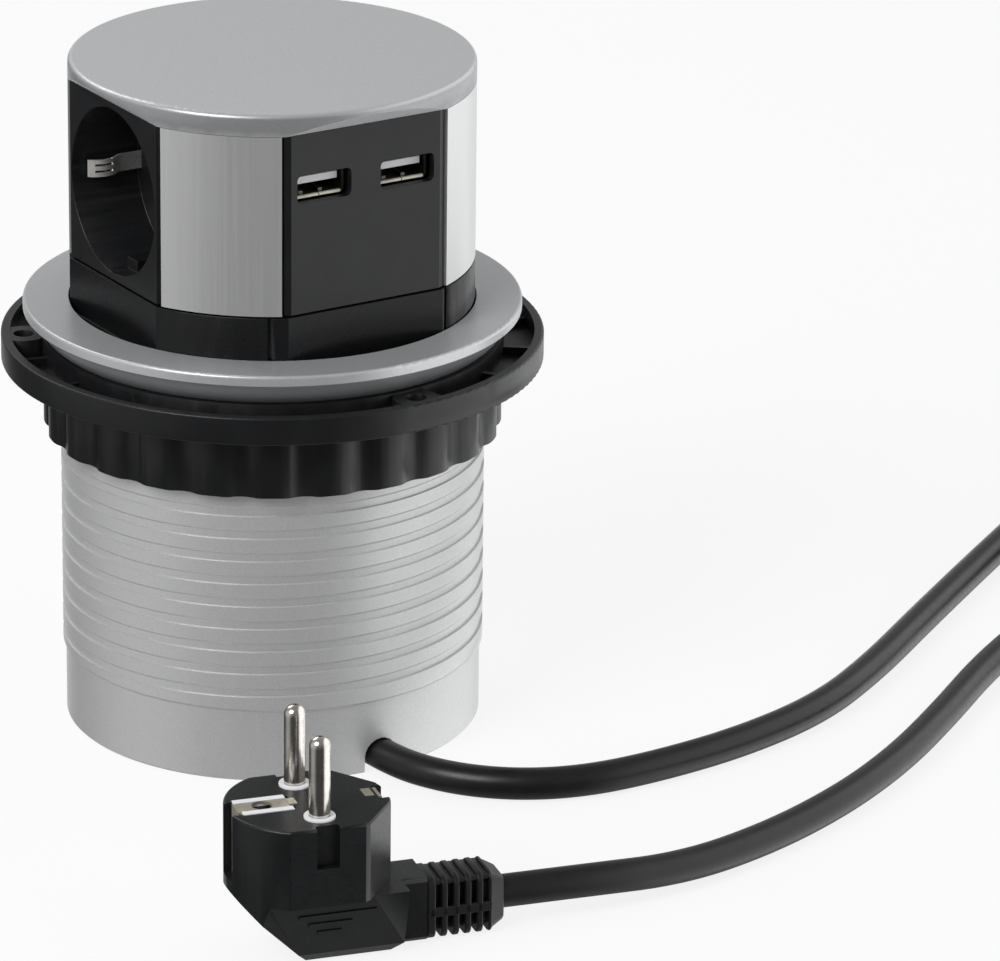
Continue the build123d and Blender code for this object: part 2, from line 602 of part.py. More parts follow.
def contact_sleeves(side):
    """Sleeves that grip the plug pins of one pole, one in each socket."""
    sleeves = []
    for degrees in SOCKET_DEGS.values():
        sleeve = Cylinder(PIN_HOLE_R + SLEEVE_WALL, SLEEVE_L) - Cylinder(PIN_HOLE_R, SLEEVE_L + CUT)
        sleeve = Pos(SLEEVE_END_D + SLEEVE_L / 2, 0, 0) * Rot(0, 90, 0) * sleeve
        sleeves.append(Pos(0, 0, HEAD_MID_Z + side * PIN_SPACING / 2) * turned(sleeve, degrees))
    return sleeves


def contact_bus(side):
    """Bar in the middle that joins the three sleeves of one pole."""
    z = HEAD_MID_Z + side * PIN_SPACING / 2
    return block(-BUS_HALF, BUS_HALF, -BUS_HALF, BUS_HALF, z - BUS_HALF_H, z + BUS_HALF_H)


PORT_Z = HEAD_MID_Z + PORT_RISE
PORT_FRONT_Y = -FACE_D + PORT_INSET
BOARD_FRONT_Y = PORT_FRONT_Y + PORT_L


def port_prism(width, height, edge, y_front, length, x):
    """Rounded rectangle pushed back from the port face."""
    shape = extrude(RectangleRounded(width, height, edge), length)
    return Pos(x, y_front + length, PORT_Z) * Rot(90, 0, 0) * shape


def usb_plate():
    """Face plate with the two rounded port openings."""
    z0, z1 = HEAD_LOW_Z + SEAT_GAP, HEAD_TOP_Z - SEAT_GAP
    half = FACE_HALF_W - SEAT_GAP
    plate = block(-half, half, -FACE_D, -FACE_D + FACE_T, z0, z1)
    long_edges = plate.edges().filter_by(Axis.Z).group_by(Axis.Y)[0]
    plate = chamfer(long_edges, FACE_CHAMFER, 2 * FACE_CHAMFER)
    for x in (-PORT_X, PORT_X):
        plate -= port_prism(PORT_HOLE_W, PORT_HOLE_H, PORT_HOLE_EDGE, -FACE_D - CUT, FACE_T + 2 * CUT, x)
    return plate


def usb_shells():
    """Folded metal shells of the two ports."""
    shells = []
    for x in (-PORT_X, PORT_X):
        inner_w, inner_h = PORT_W - 2 * PORT_WALL, PORT_H - 2 * PORT_WALL
        shell = port_prism(PORT_W, PORT_H, PORT_EDGE, PORT_FRONT_Y, PORT_L - SEAT_GAP, x)
        inside = port_prism(inner_w, inner_h, PORT_WALL / 2, PORT_FRONT_Y - CUT, PORT_L - PORT_WALL + CUT, x)
        shells.append(shell - inside)
    return shells


def usb_tongues():
    """Insulating tongues that carry the port contacts."""
    tongues = []
    for x in (-PORT_X, PORT_X):
        back = BOARD_FRONT_Y - SEAT_GAP - PORT_WALL - SEAT_GAP
        z = PORT_Z + TONGUE_RISE
        tongues.append(block(x - TONGUE_W / 2, x + TONGUE_W / 2, back - TONGUE_L, back,
                             z - TONGUE_T / 2, z + TONGUE_T / 2))
    return tongues


def usb_board():
    """Circuit board behind the ports."""
    z = PORT_Z - BOARD_DROP
    return block(-BOARD_W / 2, BOARD_W / 2, BOARD_FRONT_Y, BOARD_FRONT_Y + BOARD_T,
                 max(z - BOARD_H / 2, CORE_LOW_Z + CORE_PLATE + SEAT_GAP), PORT_Z + PORT_H)


def transformer():
    """Small power supply transformer on the back of the board."""
    width, depth, height = TRANSFORMER
    y0 = BOARD_FRONT_Y + BOARD_T + SEAT_GAP
    z = PORT_Z - TRANSFORMER_DROP
    body = block(-width / 2, width / 2, y0, y0 + depth, z - height / 2, z + height / 2)
    return fillet(body.edges().filter_by(Axis.Y), TRANSFORMER_EDGE)


def capacitors():
    """Two round capacitors on the back of the board."""
    y0 = BOARD_FRONT_Y + BOARD_T + SEAT_GAP
    z = PORT_Z - TRANSFORMER_DROP
    can = Rot(90, 0, 0) * Cylinder(CAPACITOR_R, CAPACITOR_L)
    return [Pos(side * (CAPACITOR_X + CAPACITOR_R / 2), y0 + CAPACITOR_L / 2, z) * can for side in (-1, 1)]


def bottom_cover():
    """Recessed cover below the tube's shelf, with its screw holes."""
    cover = disc(COVER_R, COVER_LOW_Z, COVER_TOP_Z)
    for degrees in COVER_SCREW_DEGS:
        x, y = polar(COVER_SCREW_R, degrees)
        cover -= disc(SCREW_R + SEAT_GAP, COVER_LOW_Z - CUT, COVER_TOP_Z + CUT, x, y)
    return cover


def cover_screws():
    """Screws through the cover into the shelf, heads below."""
    length = SHELF_TOP_Z - COVER_LOW_Z
    return [screw(*polar(COVER_SCREW_R, a), COVER_LOW_Z, length, True) for a in COVER_SCREW_DEGS]


def cord_gland():
    """Gland block below the cover that the cord comes out of."""
    gland = block(-GLAND_L, 0, -GLAND_HALF_W, GLAND_HALF_W, SLIDE_GAP, COVER_LOW_Z)
    gland = fillet(gland.edges().filter_by(Axis.Z), GLAND_EDGE)
    return at_cord_exit(gland)


def cable_clamp():
    """Clamp on the cover that holds the foot of the inner lead."""
    (x, y, z), heading = lead_end(LEAD_LOW_Z, True)
    body = block(-CLAMP_L, 0, -CLAMP_W / 2, CLAMP_W / 2, COVER_TOP_Z, COVER_TOP_Z + CLAMP_H)
    body = fillet(body.edges().filter_by(Axis.Z), CLAMP_EDGE)
    for side in (-1, 1):
        body -= disc(SCREW_R + SEAT_GAP, COVER_TOP_Z - CUT, COVER_TOP_Z + CLAMP_H + CUT,
                     -CLAMP_L / 2, side * CLAMP_SCREW_DX)
    return Pos(x, y, 0) * turned(body, heading)


def clamp_screws():
    """Screws that hold the clamp down on the cover."""
    (x, y, z), heading = lead_end(LEAD_LOW_Z, True)
    screws = []
    for side in (-1, 1):
        body = screw(-CLAMP_L / 2, side * CLAMP_SCREW_DX, COVER_TOP_Z + CLAMP_H, CLAMP_H - SEAT_GAP, False)
        screws.append(Pos(x, y, 0) * turned(body, heading))
    return screws


def bow(start, start_way, end, end_way):
    """Two arcs from one point and heading to another, meeting with one tangent."""
    a, b = Vector(*start), Vector(*end)
    u, v = Vector(*start_way).normalized(), Vector(*end_way).normalized()
    chord, both = b - a, u + v
    spread = 2 * (1 - u.dot(v))
    along = chord.dot(both)
    reach = (math.sqrt(along * along + spread * chord.dot(chord)) - along) / spread
    middle = (a + b + (u - v) * reach) * (1 / 2)
    first = TangentArc(a, middle, tangent=u)
    second = TangentArc(middle, b, tangent=first.tangent_at(1))
    return [first, second]


def swept(path, radius):
    """Round tube along a path of lines and arcs."""
    wire = path if isinstance(path, Wire) else Wire(path)
    section = Plane(origin=wire.position_at(0), z_dir=wire.tangent_at(0)) * Circle(radius)
    return sweep(section, path=wire)


def coil_curves():
    """Centre line of the coil: inwards on the floor, up a layer, and outwards again."""
    curves = []
    heading = COIL_START_DEG
    here = Vector(*COIL_START)
    lead_in = Vector(*polar(2 * CORD_R, heading), 0)
    curves.append(Line(here - lead_in, here))
    steps = []
    for i in range(COIL_HALF_TURNS):
        steps.append((COIL_MIDDLE_R + COIL_PITCH / 2 * ((COIL_HALF_TURNS - 1) / 2 - i), 180, 0))
    inner = COIL_MIDDLE_R - COIL_PITCH / 2 * (COIL_HALF_TURNS + 1) / 2
    outer = COIL_MIDDLE_R + COIL_PITCH / 2 * (COIL_HALF_TURNS + 1) / 2
    steps = steps + [(inner, 180, COIL_PITCH)] + steps[::-1] + [(outer, COIL_START_DEG, 0)]
    for radius, sweep_deg, rise in steps:
        to_centre = Vector(*polar(radius, heading - 90), 0)
        centre = here + to_centre
        out_deg = heading + 90
        end_heading = heading - sweep_deg
        end = centre + Vector(*polar(radius, out_deg - sweep_deg), rise)
        if rise:
            curves += bow(here, Vector(*polar(1, heading), 0), end, Vector(*polar(1, end_heading), 0))
        else:
            middle = centre + Vector(*polar(radius, out_deg - sweep_deg / 2), 0)
            curves.append(ThreePointArc(here, middle, end))
        here, heading = end, end_heading
    lead_out = Vector(*polar(2 * CORD_R, heading), 0)
    curves.append(Line(here, here + lead_out))
    return curves


def least_gap(curves, radius):
    """Least clear gap between stretches of a wound tube, measured on points of its centre line."""
    points, run = [], []
    travelled = 0.0
    for curve in curves:
        for i in range(LOOP_SAMPLES):
            points.append(curve.position_at(i / LOOP_SAMPLES))
            run.append(travelled + curve.length * i / LOOP_SAMPLES)
        travelled += curve.length
    best = math.inf
    for i, p in enumerate(points):
        for j in range(i + 1, len(points)):
            if run[j] - run[i] > math.pi * 3 * radius:
                best = min(best, (points[j] - p).length)
    return best - 2 * radius


def cord_coil():
    """Coil of the length of cord that is put away."""
    curves = coil_curves()
    wire = Wire(curves)
    print("coil length", round(wire.length, 1), "least gap", round(least_gap(curves, CORD_R), 2))
    return swept(wire, CORD_R)


def cord_radii(points):
    """Radius of the arc at each corner of a cord's route."""
    radii = []
    for a, b, c in zip(points, points[1:], points[2:]):
        before, after = Vector(*b) - Vector(*a), Vector(*c) - Vector(*b)
        half_turn = math.radians(before.get_angle(after)) / 2
        shorter = min(before.length, after.length)
        radii.append(0.45 * shorter / math.tan(half_turn))
    return radii


def cord_run(points, name):
    """Tube along a route of straight runs joined by large arcs."""
    radii = cord_radii(points)
    path = FilletPolyline(*points, radius=radii)
    body = swept(path, CORD_R)
    print(name, "length", round(path.length, 1), "least radius", round(min(radii), 1),
          "volume share", round(body.volume / (path.length * math.pi * CORD_R ** 2), 4))
    print(name, "radii", [round(r, 1) for r in radii])
    return body


def inner_lead():
    """Loose lead inside the tube, two turns between the clamp and the carriage."""
    steps = 4 * LEAD_TURNS
    start, heading = lead_end(LEAD_LOW_Z, True)
    nodes = []
    for i in range(steps + 1):
        share = i / steps
        angle = LEAD_START_DEG + 90 * i
        rise = share * share * (3 - 2 * share)
        slope = 6 * share * (1 - share) * (LEAD_TOP_Z - LEAD_LOW_Z) / LEAD_TURNS
        x, y = polar(LEAD_COIL_R, angle)
        dx, dy = polar(2 * math.pi * LEAD_COIL_R, angle + 90)
        nodes.append(((x, y, LEAD_LOW_Z + rise * (LEAD_TOP_Z - LEAD_LOW_Z)), (dx, dy, slope)))
    curves = [Line(start, nodes[0][0])]
    for (a, way_a), (b, way_b) in zip(nodes, nodes[1:]):
        curves += bow(a, way_a, b, way_b)
    end, heading = lead_end(LEAD_TOP_Z, False)
    curves.append(Line(nodes[-1][0], end))
    wire = Wire(curves)
    print("inner lead length", round(wire.length, 1), "least gap", round(least_gap(curves, LEAD_R), 2))
    return swept(wire, LEAD_R)


def placed(shape):
    """Put a piece of the plug where the plug lies."""
    return Pos(PLUG_X, PLUG_Y, 0) * Rot(0, 0, PLUG_DEG) * shape


def plug_head():
    """Round upper part of the plug with its flats and facets."""
    low = PLUG_H - PLUG_HEAD_H
    head = disc(PLUG_R, low, PLUG_H)
    far = 2 * PLUG_R
    for side in (-1, 1):
        near, edge = sorted((side * PLUG_FLAT_D, side * far))
        head -= block(-far, far, near, edge, low - CUT, PLUG_H + CUT)
        facet = block(PLUG_FACET_D, far, -far, far, low - CUT, PLUG_H + CUT)
        head -= turned(facet, side * PLUG_FACET_DEG)
    return fillet(head.edges().group_by(Axis.Z)[-1], PLUG_EDGE)


def plug_fin():
    """Tapered lower part of the plug, cut back steeply on the side away from the cord."""
    low = PLUG_H - PLUG_HEAD_H
    side_view = make_face(Polyline(
        (-PLUG_R, 0, low), (FIN_LEFT_X, 0, 0), (FIN_RIGHT_X, 0, 0),
        (FIN_RIGHT_X + FIN_CHAMFER, 0, FIN_CHAMFER), (FIN_RIGHT_X + FIN_CHAMFER, 0, low), close=True))
    fin = extrude(side_view, PLUG_R, both=True)
    front_view = make_face(Polyline(
        (0, -FIN_HALF_W, 0), (0, FIN_HALF_W, 0), (0, FIN_HALF_W + FIN_CHAMFER, FIN_CHAMFER),
        (0, FIN_TOP_HALF_W, low), (0, -FIN_TOP_HALF_W, low), (0, -FIN_HALF_W - FIN_CHAMFER, FIN_CHAMFER),
        close=True))
    taper = extrude(front_view, 2 * PLUG_R, both=True)
    plan = disc(PLUG_R, 0, low) + block(0, 2 * PLUG_R, -PLUG_R, PLUG_R, 0, low)
    return fin & taper & plan


def plug_neck():
    """Neck between the plug and its strain relief."""
    neck = block(0, PLUG_NECK_X, -PLUG_NECK_HALF_W, PLUG_NECK_HALF_W, PLUG_NECK_LOW, PLUG_NECK_TOP)
    return fillet(neck.edges().filter_by(Axis.X), NECK_EDGE)


def plug_body():
    """Moulded plug with key grooves, earth slots and seats for collars and frame."""
    body = plug_head() + plug_fin() + plug_neck()
    for side in (-1, 1):
        low, high = sorted((side * (PLUG_FLAT_D - PLUG_GROOVE_DEPTH), side * (PLUG_R + CUT)))
        body -= block(-PLUG_GROOVE_HALF_W, PLUG_GROOVE_HALF_W, low, high,
                      PLUG_H - PLUG_GROOVE_L, PLUG_H + CUT)
        low, high = sorted((side * (PLUG_FACET_D - EARTH_SLOT_DEPTH), side * (PLUG_R + CUT)))
        body -= block(low, high, -EARTH_SLOT_HALF_W, EARTH_SLOT_HALF_W, PLUG_H - EARTH_SLOT_L, PLUG_H + CUT)
        y = side * PIN_SPACING / 2
        body -= disc(COLLAR_RING_R + SEAT_GAP, PLUG_H - COLLAR_RING_SINK, PLUG_H + CUT, 0, y)
    frame_half_l, frame_half_w = EARTH_FRAME_L / 2 + SEAT_GAP, EARTH_FRAME_W / 2 + SEAT_GAP
    body -= block(-EARTH_FRAME_X - frame_half_l, -EARTH_FRAME_X + frame_half_l, -frame_half_w, frame_half_w,
                  PLUG_H - EARTH_FRAME_T, PLUG_H + CUT)
    return placed(body)


def plug_strain_relief():
    """Ribbed strain relief with slots cut in its upper and lower edges."""
    profile = RectangleRounded(2 * RELIEF_HALF_W, 2 * RELIEF_HALF_H, RELIEF_EDGE)
    start = Plane(origin=(PLUG_NECK_X + SEAT_GAP, 0, RELIEF_Z), x_dir=(0, 1, 0), z_dir=(1, 0, 0))
    straight = RELIEF_END_X - RELIEF_TIP_L - PLUG_NECK_X - SEAT_GAP
    body = extrude(start * profile, straight)
    tip_start = start.offset(straight)
    tip_end = tip_start.offset(RELIEF_TIP_L)
    small = RectangleRounded(2 * RELIEF_HALF_W * RELIEF_TIP_SHARE, 2 * RELIEF_HALF_H * RELIEF_TIP_SHARE,
                             RELIEF_EDGE * RELIEF_TIP_SHARE)
    body += loft([tip_start * profile, tip_end * small])
    for i in range(RELIEF_SLOTS):
        x = RELIEF_SLOT_X + RELIEF_SLOT_PITCH * i
        for side in (-1, 1):
            for rise in (-1, 1):
                y0, y1 = sorted((side * (RELIEF_HALF_W - RELIEF_SLOT_DEPTH), side * (RELIEF_HALF_W + CUT)))
                z = RELIEF_Z + rise * RELIEF_SLOT_RISE
                body -= block(x, x + RELIEF_SLOT_W, y0, y1, z - RELIEF_SLOT_H / 2, z + RELIEF_SLOT_H / 2)
    return placed(body)


def plug_pins():
    """Two round pins with domed ends and a slightly thinner root in the collar."""
    pins = []
    for side in (-1, 1):
        y = side * PIN_SPACING / 2
        root_top = PLUG_H + COLLAR_RING_T + PIN_ROOT_RISE
        pin = disc(PIN_R, root_top, PLUG_H + PIN_L, 0, y)
        pin = fillet(pin.edges().group_by(Axis.Z)[-1], PIN_R - SEAT_GAP)
        pins.append(placed(pin + disc(PIN_ROOT_R, PLUG_H - COLLAR_RING_SINK, root_top, 0, y)))
    return pins


def plug_pin_collars():
    """Pale insulating collars round the feet of the pins."""
    collars = []
    for side in (-1, 1):
        ring = tube(COLLAR_RING_R, PIN_ROOT_R + SEAT_GAP / 2, PLUG_H - COLLAR_RING_SINK + SEAT_GAP / 2,
                    PLUG_H + COLLAR_RING_T)
        collars.append(placed(Pos(0, side * PIN_SPACING / 2, 0) * ring))
    return collars


def plug_earth_frame():
    """Pale frame round the earth contact, let into the face."""
    z0, z1 = PLUG_H - EARTH_FRAME_T + SEAT_GAP / 2, PLUG_H + SEAT_GAP
    x0, x1 = -EARTH_FRAME_X - EARTH_FRAME_L / 2, -EARTH_FRAME_X + EARTH_FRAME_L / 2
    frame = block(max(x0, EARTH_SLOT_DEPTH - PLUG_FACET_D), x1, -EARTH_FRAME_W / 2, EARTH_FRAME_W / 2, z0, z1)
    half_l, half_w = EARTH_PLATE_L / 2 + SEAT_GAP, EARTH_PLATE_W / 2 + SEAT_GAP
    frame -= block(-EARTH_FRAME_X - half_l - EARTH_FRAME_L, -EARTH_FRAME_X + half_l, -half_w, half_w,
                   PLUG_H - EARTH_PLATE_T, z1 + CUT)
    frame -= disc(EARTH_HOLE_R, z0 - CUT, z1 + CUT, -EARTH_FRAME_X, 0)
    return placed(frame)


def plug_earth_contacts():
    """Earth plate with its hole, and the strips that lie in the side slots."""
    z0, z1 = PLUG_H - EARTH_PLATE_T + SEAT_GAP / 2, PLUG_H + SEAT_GAP
    slot_x = PLUG_FACET_D - EARTH_SLOT_DEPTH
    x1 = -EARTH_FRAME_X + EARTH_PLATE_L / 2
    plate = block(-slot_x - EARTH_TAB_T, x1, -EARTH_PLATE_W / 2, EARTH_PLATE_W / 2, z0, z1)
    plate -= disc(EARTH_HOLE_R, z0 - CUT, z1 + CUT, -EARTH_FRAME_X, 0)
    foot = PLUG_H - EARTH_SLOT_L + SEAT_GAP
    plate += block(-slot_x - EARTH_TAB_T, -slot_x - SEAT_GAP / 2, -EARTH_TAB_W, EARTH_TAB_W, foot, z1)
    strip = block(slot_x + SEAT_GAP / 2, slot_x + EARTH_TAB_T, -EARTH_TAB_W, EARTH_TAB_W, foot, PLUG_H)
    return [placed(plate), placed(strip)]


def keep(name, shape):
    """Write one node to its file, as one solid or as a group of separate ones."""
    solids = shape if isinstance(shape, list) else [shape]
    whole = []
    for piece in solids:
        whole += list(piece.solids())
    node = whole[0] if len(whole) == 1 else Compound(children=whole)
    PARTS[name] = node
    export_step(node, os.path.join("parts", name + ".step"))


def main():
    os.makedirs("parts", exist_ok=True)
    keep("outer_tube", outer_tube())
    keep("flange_ring", flange_ring())
    keep("mounting_ring", mounting_ring())
    keep("clamp_nut", clamp_nut())
    keep("cap", cap())
    for name, degrees in (("right", -45.0), ("rear_right", 45.0), ("rear_left", 135.0), ("left", 225.0)):
        keep("panel_" + name, side_panel(degrees))
    keep("core_housing", core_housing())
    keep("carriage", carriage())
    keep("friction_ring", friction_ring())
    keep("head_screws", head_screws())
    for name, degrees in SOCKET_DEGS.items():
        keep("socket_insert_" + name, socket_insert(degrees))
        keep("earth_clip_" + name, earth_clip(degrees))
    keep("live_sleeves", contact_sleeves(1))
    keep("neutral_sleeves", contact_sleeves(-1))
    keep("live_bus", contact_bus(1))
    keep("neutral_bus", contact_bus(-1))
    keep("usb_plate", usb_plate())
    keep("usb_shells", usb_shells())
    keep("usb_tongues", usb_tongues())
    keep("usb_board", usb_board())
    keep("transformer", transformer())
    keep("capacitors", capacitors())
    keep("bottom_cover", bottom_cover())
    keep("cover_screws", cover_screws())
    keep("cord_gland", cord_gland())
    keep("cable_clamp", cable_clamp())
    keep("clamp_screws", clamp_screws())
    keep("inner_lead", inner_lead())
    keep("cord_from_tube", cord_run(CORD_FROM_TUBE, "cord_from_tube"))
    keep("cord_coil", cord_coil())
    keep("cord_to_plug", cord_run(CORD_TO_PLUG, "cord_to_plug"))
    keep("plug_body", plug_body())
    keep("plug_strain_relief", plug_strain_relief())
    keep("plug_pins", plug_pins())
    keep("plug_pin_collars", plug_pin_collars())
    keep("plug_earth_frame", plug_earth_frame())
    keep("plug_earth_contacts", plug_earth_contacts())


main()
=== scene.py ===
import bpy
import bmesh
import json
import math
from mathutils import Matrix, Vector


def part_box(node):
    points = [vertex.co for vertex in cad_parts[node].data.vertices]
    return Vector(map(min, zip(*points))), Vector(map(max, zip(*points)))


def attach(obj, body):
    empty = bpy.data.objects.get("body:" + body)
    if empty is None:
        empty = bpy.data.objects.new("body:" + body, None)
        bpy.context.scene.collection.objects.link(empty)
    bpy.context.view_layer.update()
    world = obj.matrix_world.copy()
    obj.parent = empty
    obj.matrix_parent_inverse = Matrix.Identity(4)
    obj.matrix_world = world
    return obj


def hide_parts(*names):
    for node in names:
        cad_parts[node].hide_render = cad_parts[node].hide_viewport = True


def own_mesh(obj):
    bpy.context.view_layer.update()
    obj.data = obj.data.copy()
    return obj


# Dressed model of a pop up desk socket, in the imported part's own frame: Z up, floor at 0, the tube on the
# Z axis, and the face with the two ports looking along -Y. The part's lengths are given in millimetres.

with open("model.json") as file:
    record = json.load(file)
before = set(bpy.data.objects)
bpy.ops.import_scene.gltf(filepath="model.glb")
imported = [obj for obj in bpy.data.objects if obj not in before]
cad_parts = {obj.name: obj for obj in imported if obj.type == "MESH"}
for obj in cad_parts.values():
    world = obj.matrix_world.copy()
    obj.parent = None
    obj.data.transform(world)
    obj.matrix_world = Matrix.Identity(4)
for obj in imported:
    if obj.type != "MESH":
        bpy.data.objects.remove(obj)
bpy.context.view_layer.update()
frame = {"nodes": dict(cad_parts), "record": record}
scene = bpy.context.scene
scene.view_settings.view_transform = "Standard"

MM = 0.001
FULL_TURN, HALF_TURN, QUARTER_TURN = 360, 180, 90


def mm(*point):
    """Point given in millimetres, as a vector in metres."""
    return Vector(point) * MM


def round_point(radius, degrees, z):
    """Point on a circle round the tube's axis."""
    angle = math.radians(degrees)
    return (radius * math.cos(angle), radius * math.sin(angle), z)


def way(heading_deg, rise_deg):
    """Unit vector of a heading in the floor plane, from +X, and a rise above it."""
    heading, rise = math.radians(heading_deg), math.radians(rise_deg)
    return Vector((math.cos(heading) * math.cos(rise), math.sin(heading) * math.cos(rise), math.sin(rise)))


def eased(share):
    """Share from 0 to 1 that starts and ends gently."""
    return share * share * (3 - 2 * share)


def added(name, data):
    """New object in the scene."""
    obj = bpy.data.objects.new(name, data)
    scene.collection.objects.link(obj)
    return obj


# Camera, fitted to the circles of the photograph
CAMERA_PLACE = mm(-770.1, -1329.0, 632.0)
CAMERA_HEADING_DEG = 57.9
CAMERA_PITCH_DEG = -20.528
CAMERA_ROLL_DEG = -0.65
CAMERA_LENS = 248.9
CAMERA_REACH = 20.0             # in metres
SENSOR_WIDTH = 36.0


def make_camera():
    forward = way(CAMERA_HEADING_DEG, CAMERA_PITCH_DEG)
    roll = math.radians(CAMERA_ROLL_DEG)
    level = forward.cross(Vector((0, 0, 1))).normalized()
    up = level.cross(forward)
    right = level * math.cos(roll) - up * math.sin(roll)
    up = right.cross(forward)
    data = bpy.data.cameras.new("photo_camera")
    data.lens = CAMERA_LENS
    data.sensor_width = SENSOR_WIDTH
    data.sensor_fit = "HORIZONTAL"
    data.clip_end = CAMERA_REACH
    camera = added("photo_camera", data)
    turn = Matrix((right, up, -forward)).transposed().to_4x4()
    camera.matrix_world = Matrix.Translation(CAMERA_PLACE) @ turn
    scene.camera = camera


make_camera()

# Floor, studio walls and lamps, in metres
FLOOR_HALF = 6.0
FLOOR_WHITE = 0.86
FLOOR_LIFT = 0.84               # share of the floor that shows plain white
WHITE = (1, 1, 1, 1)
WALL_TINT = (0.985, 0.99, 1, 1)
WALL_PATCHES = (                # heading, rise, full within, none beyond, brightness
    (0, 90, 0, 180, 0.27),
    (-20, 0, 45, 62, 1.35),
    (165, 5, 15, 50, 0.45),
    (60, 20, 20, 50, 0.25),
    (0, -90, 15, 60, 0.35),
    (60, -22, 8, 34, 0.80),
    (-25, -42, 15, 45, 0.35),
)
LAMP_SIZE = 0.8
LAMPS = (                       # name, place, what it points at, power
    ("key_high", (-1.20, -0.44, 1.06), (0, 0, 0.07), 17.0),
    ("back_high", (-0.25, 1.15, 1.20), (0, 0, 0.10), 5.0),
)


def mix_shader(tree, share, first, second):
    """Mix of two shaders, by a fixed share or by another node's output."""
    mix = tree.nodes.new("ShaderNodeMixShader")
    if isinstance(share, float):
        mix.inputs[0].default_value = share
    else:
        tree.links.new(share, mix.inputs[0])
    tree.links.new(first, mix.inputs[1])
    tree.links.new(second, mix.inputs[2])
    return mix.outputs[0]


def combined(tree, operation, source, other):
    """Sum or product of an output with a number or with another output."""
    node = tree.nodes.new("ShaderNodeMath")
    node.operation = operation
    tree.links.new(source, node.inputs[0])
    if isinstance(other, float):
        node.inputs[1].default_value = other
    else:
        tree.links.new(other, node.inputs[1])
    return node.outputs[0]


def make_floor():
    """Floor that the camera sees as nearly white, that lights the part and mirrors nothing into it."""
    mesh = bpy.data.meshes.new("floor")
    corners = [(x * FLOOR_HALF, y * FLOOR_HALF, 0) for x, y in ((-1, -1), (1, -1), (1, 1), (-1, 1))]
    mesh.from_pydata(corners, [], [(0, 1, 2, 3)])
    floor = added("floor", mesh)
    material = bpy.data.materials.new("floor_white")
    material.use_nodes = True
    tree = material.node_tree
    tree.nodes.clear()
    diffuse = tree.nodes.new("ShaderNodeBsdfDiffuse")
    diffuse.inputs["Color"].default_value = (FLOOR_WHITE, FLOOR_WHITE, FLOOR_WHITE, 1)
    white = tree.nodes.new("ShaderNodeEmission")
    clear = tree.nodes.new("ShaderNodeBsdfTransparent")
    path = tree.nodes.new("ShaderNodeLightPath")
    pale = mix_shader(tree, FLOOR_LIFT, diffuse.outputs[0], white.outputs[0])
    lit = mix_shader(tree, path.outputs["Is Diffuse Ray"], clear.outputs[0], pale)
    seen = mix_shader(tree, path.outputs["Is Camera Ray"], lit, pale)
    output = tree.nodes.new("ShaderNodeOutputMaterial")
    tree.links.new(seen, output.inputs["Surface"])
    mesh.materials.append(material)


def wall_patch(tree, view, heading, rise, inner, outer, power):
    """Brightness of a soft round patch of the studio wall, between two angles from its middle."""
    toward = tree.nodes.new("ShaderNodeVectorMath")
    toward.operation = "DOT_PRODUCT"
    toward.inputs[1].default_value = way(heading, rise)
    tree.links.new(view, toward.inputs[0])
    edge = tree.nodes.new("ShaderNodeMapRange")
    edge.interpolation_type = "SMOOTHSTEP"
    edge.inputs["From Min"].default_value = math.cos(math.radians(outer))
    edge.inputs["From Max"].default_value = math.cos(math.radians(inner))
    tree.links.new(toward.outputs["Value"], edge.inputs["Value"])
    return combined(tree, "MULTIPLY", edge.outputs["Result"], power)


def make_world():
    """Dim studio with soft bright patches of wall, and plain white to the camera."""
    world = bpy.data.worlds.new("studio")
    scene.world = world
    world.use_nodes = True
    tree = world.node_tree
    tree.nodes.clear()
    view = tree.nodes.new("ShaderNodeTexCoord").outputs["Generated"]
    total = None
    for patch in WALL_PATCHES:
        part = wall_patch(tree, view, *patch)
        total = part if total is None else combined(tree, "ADD", total, part)
    soft = tree.nodes.new("ShaderNodeBackground")
    soft.inputs["Color"].default_value = WALL_TINT
    tree.links.new(total, soft.inputs["Strength"])
    white = tree.nodes.new("ShaderNodeBackground")
    white.inputs["Color"].default_value = WHITE
    path = tree.nodes.new("ShaderNodeLightPath")
    seen = mix_shader(tree, path.outputs["Is Camera Ray"], soft.outputs[0], white.outputs[0])
    output = tree.nodes.new("ShaderNodeOutputWorld")
    tree.links.new(seen, output.inputs["Surface"])


def square_lamp(name, place, target, power):
    data = bpy.data.lights.new(name, "AREA")
    data.energy = power
    data.shape = "SQUARE"
    data.size = LAMP_SIZE
    lamp = added(name, data)
    lamp.location = place
    lamp.rotation_euler = (Vector(target) - Vector(place)).to_track_quat("-Z", "Y").to_euler()


make_floor()
make_world()
for lamp_values in LAMPS:
    square_lamp(*lamp_values)

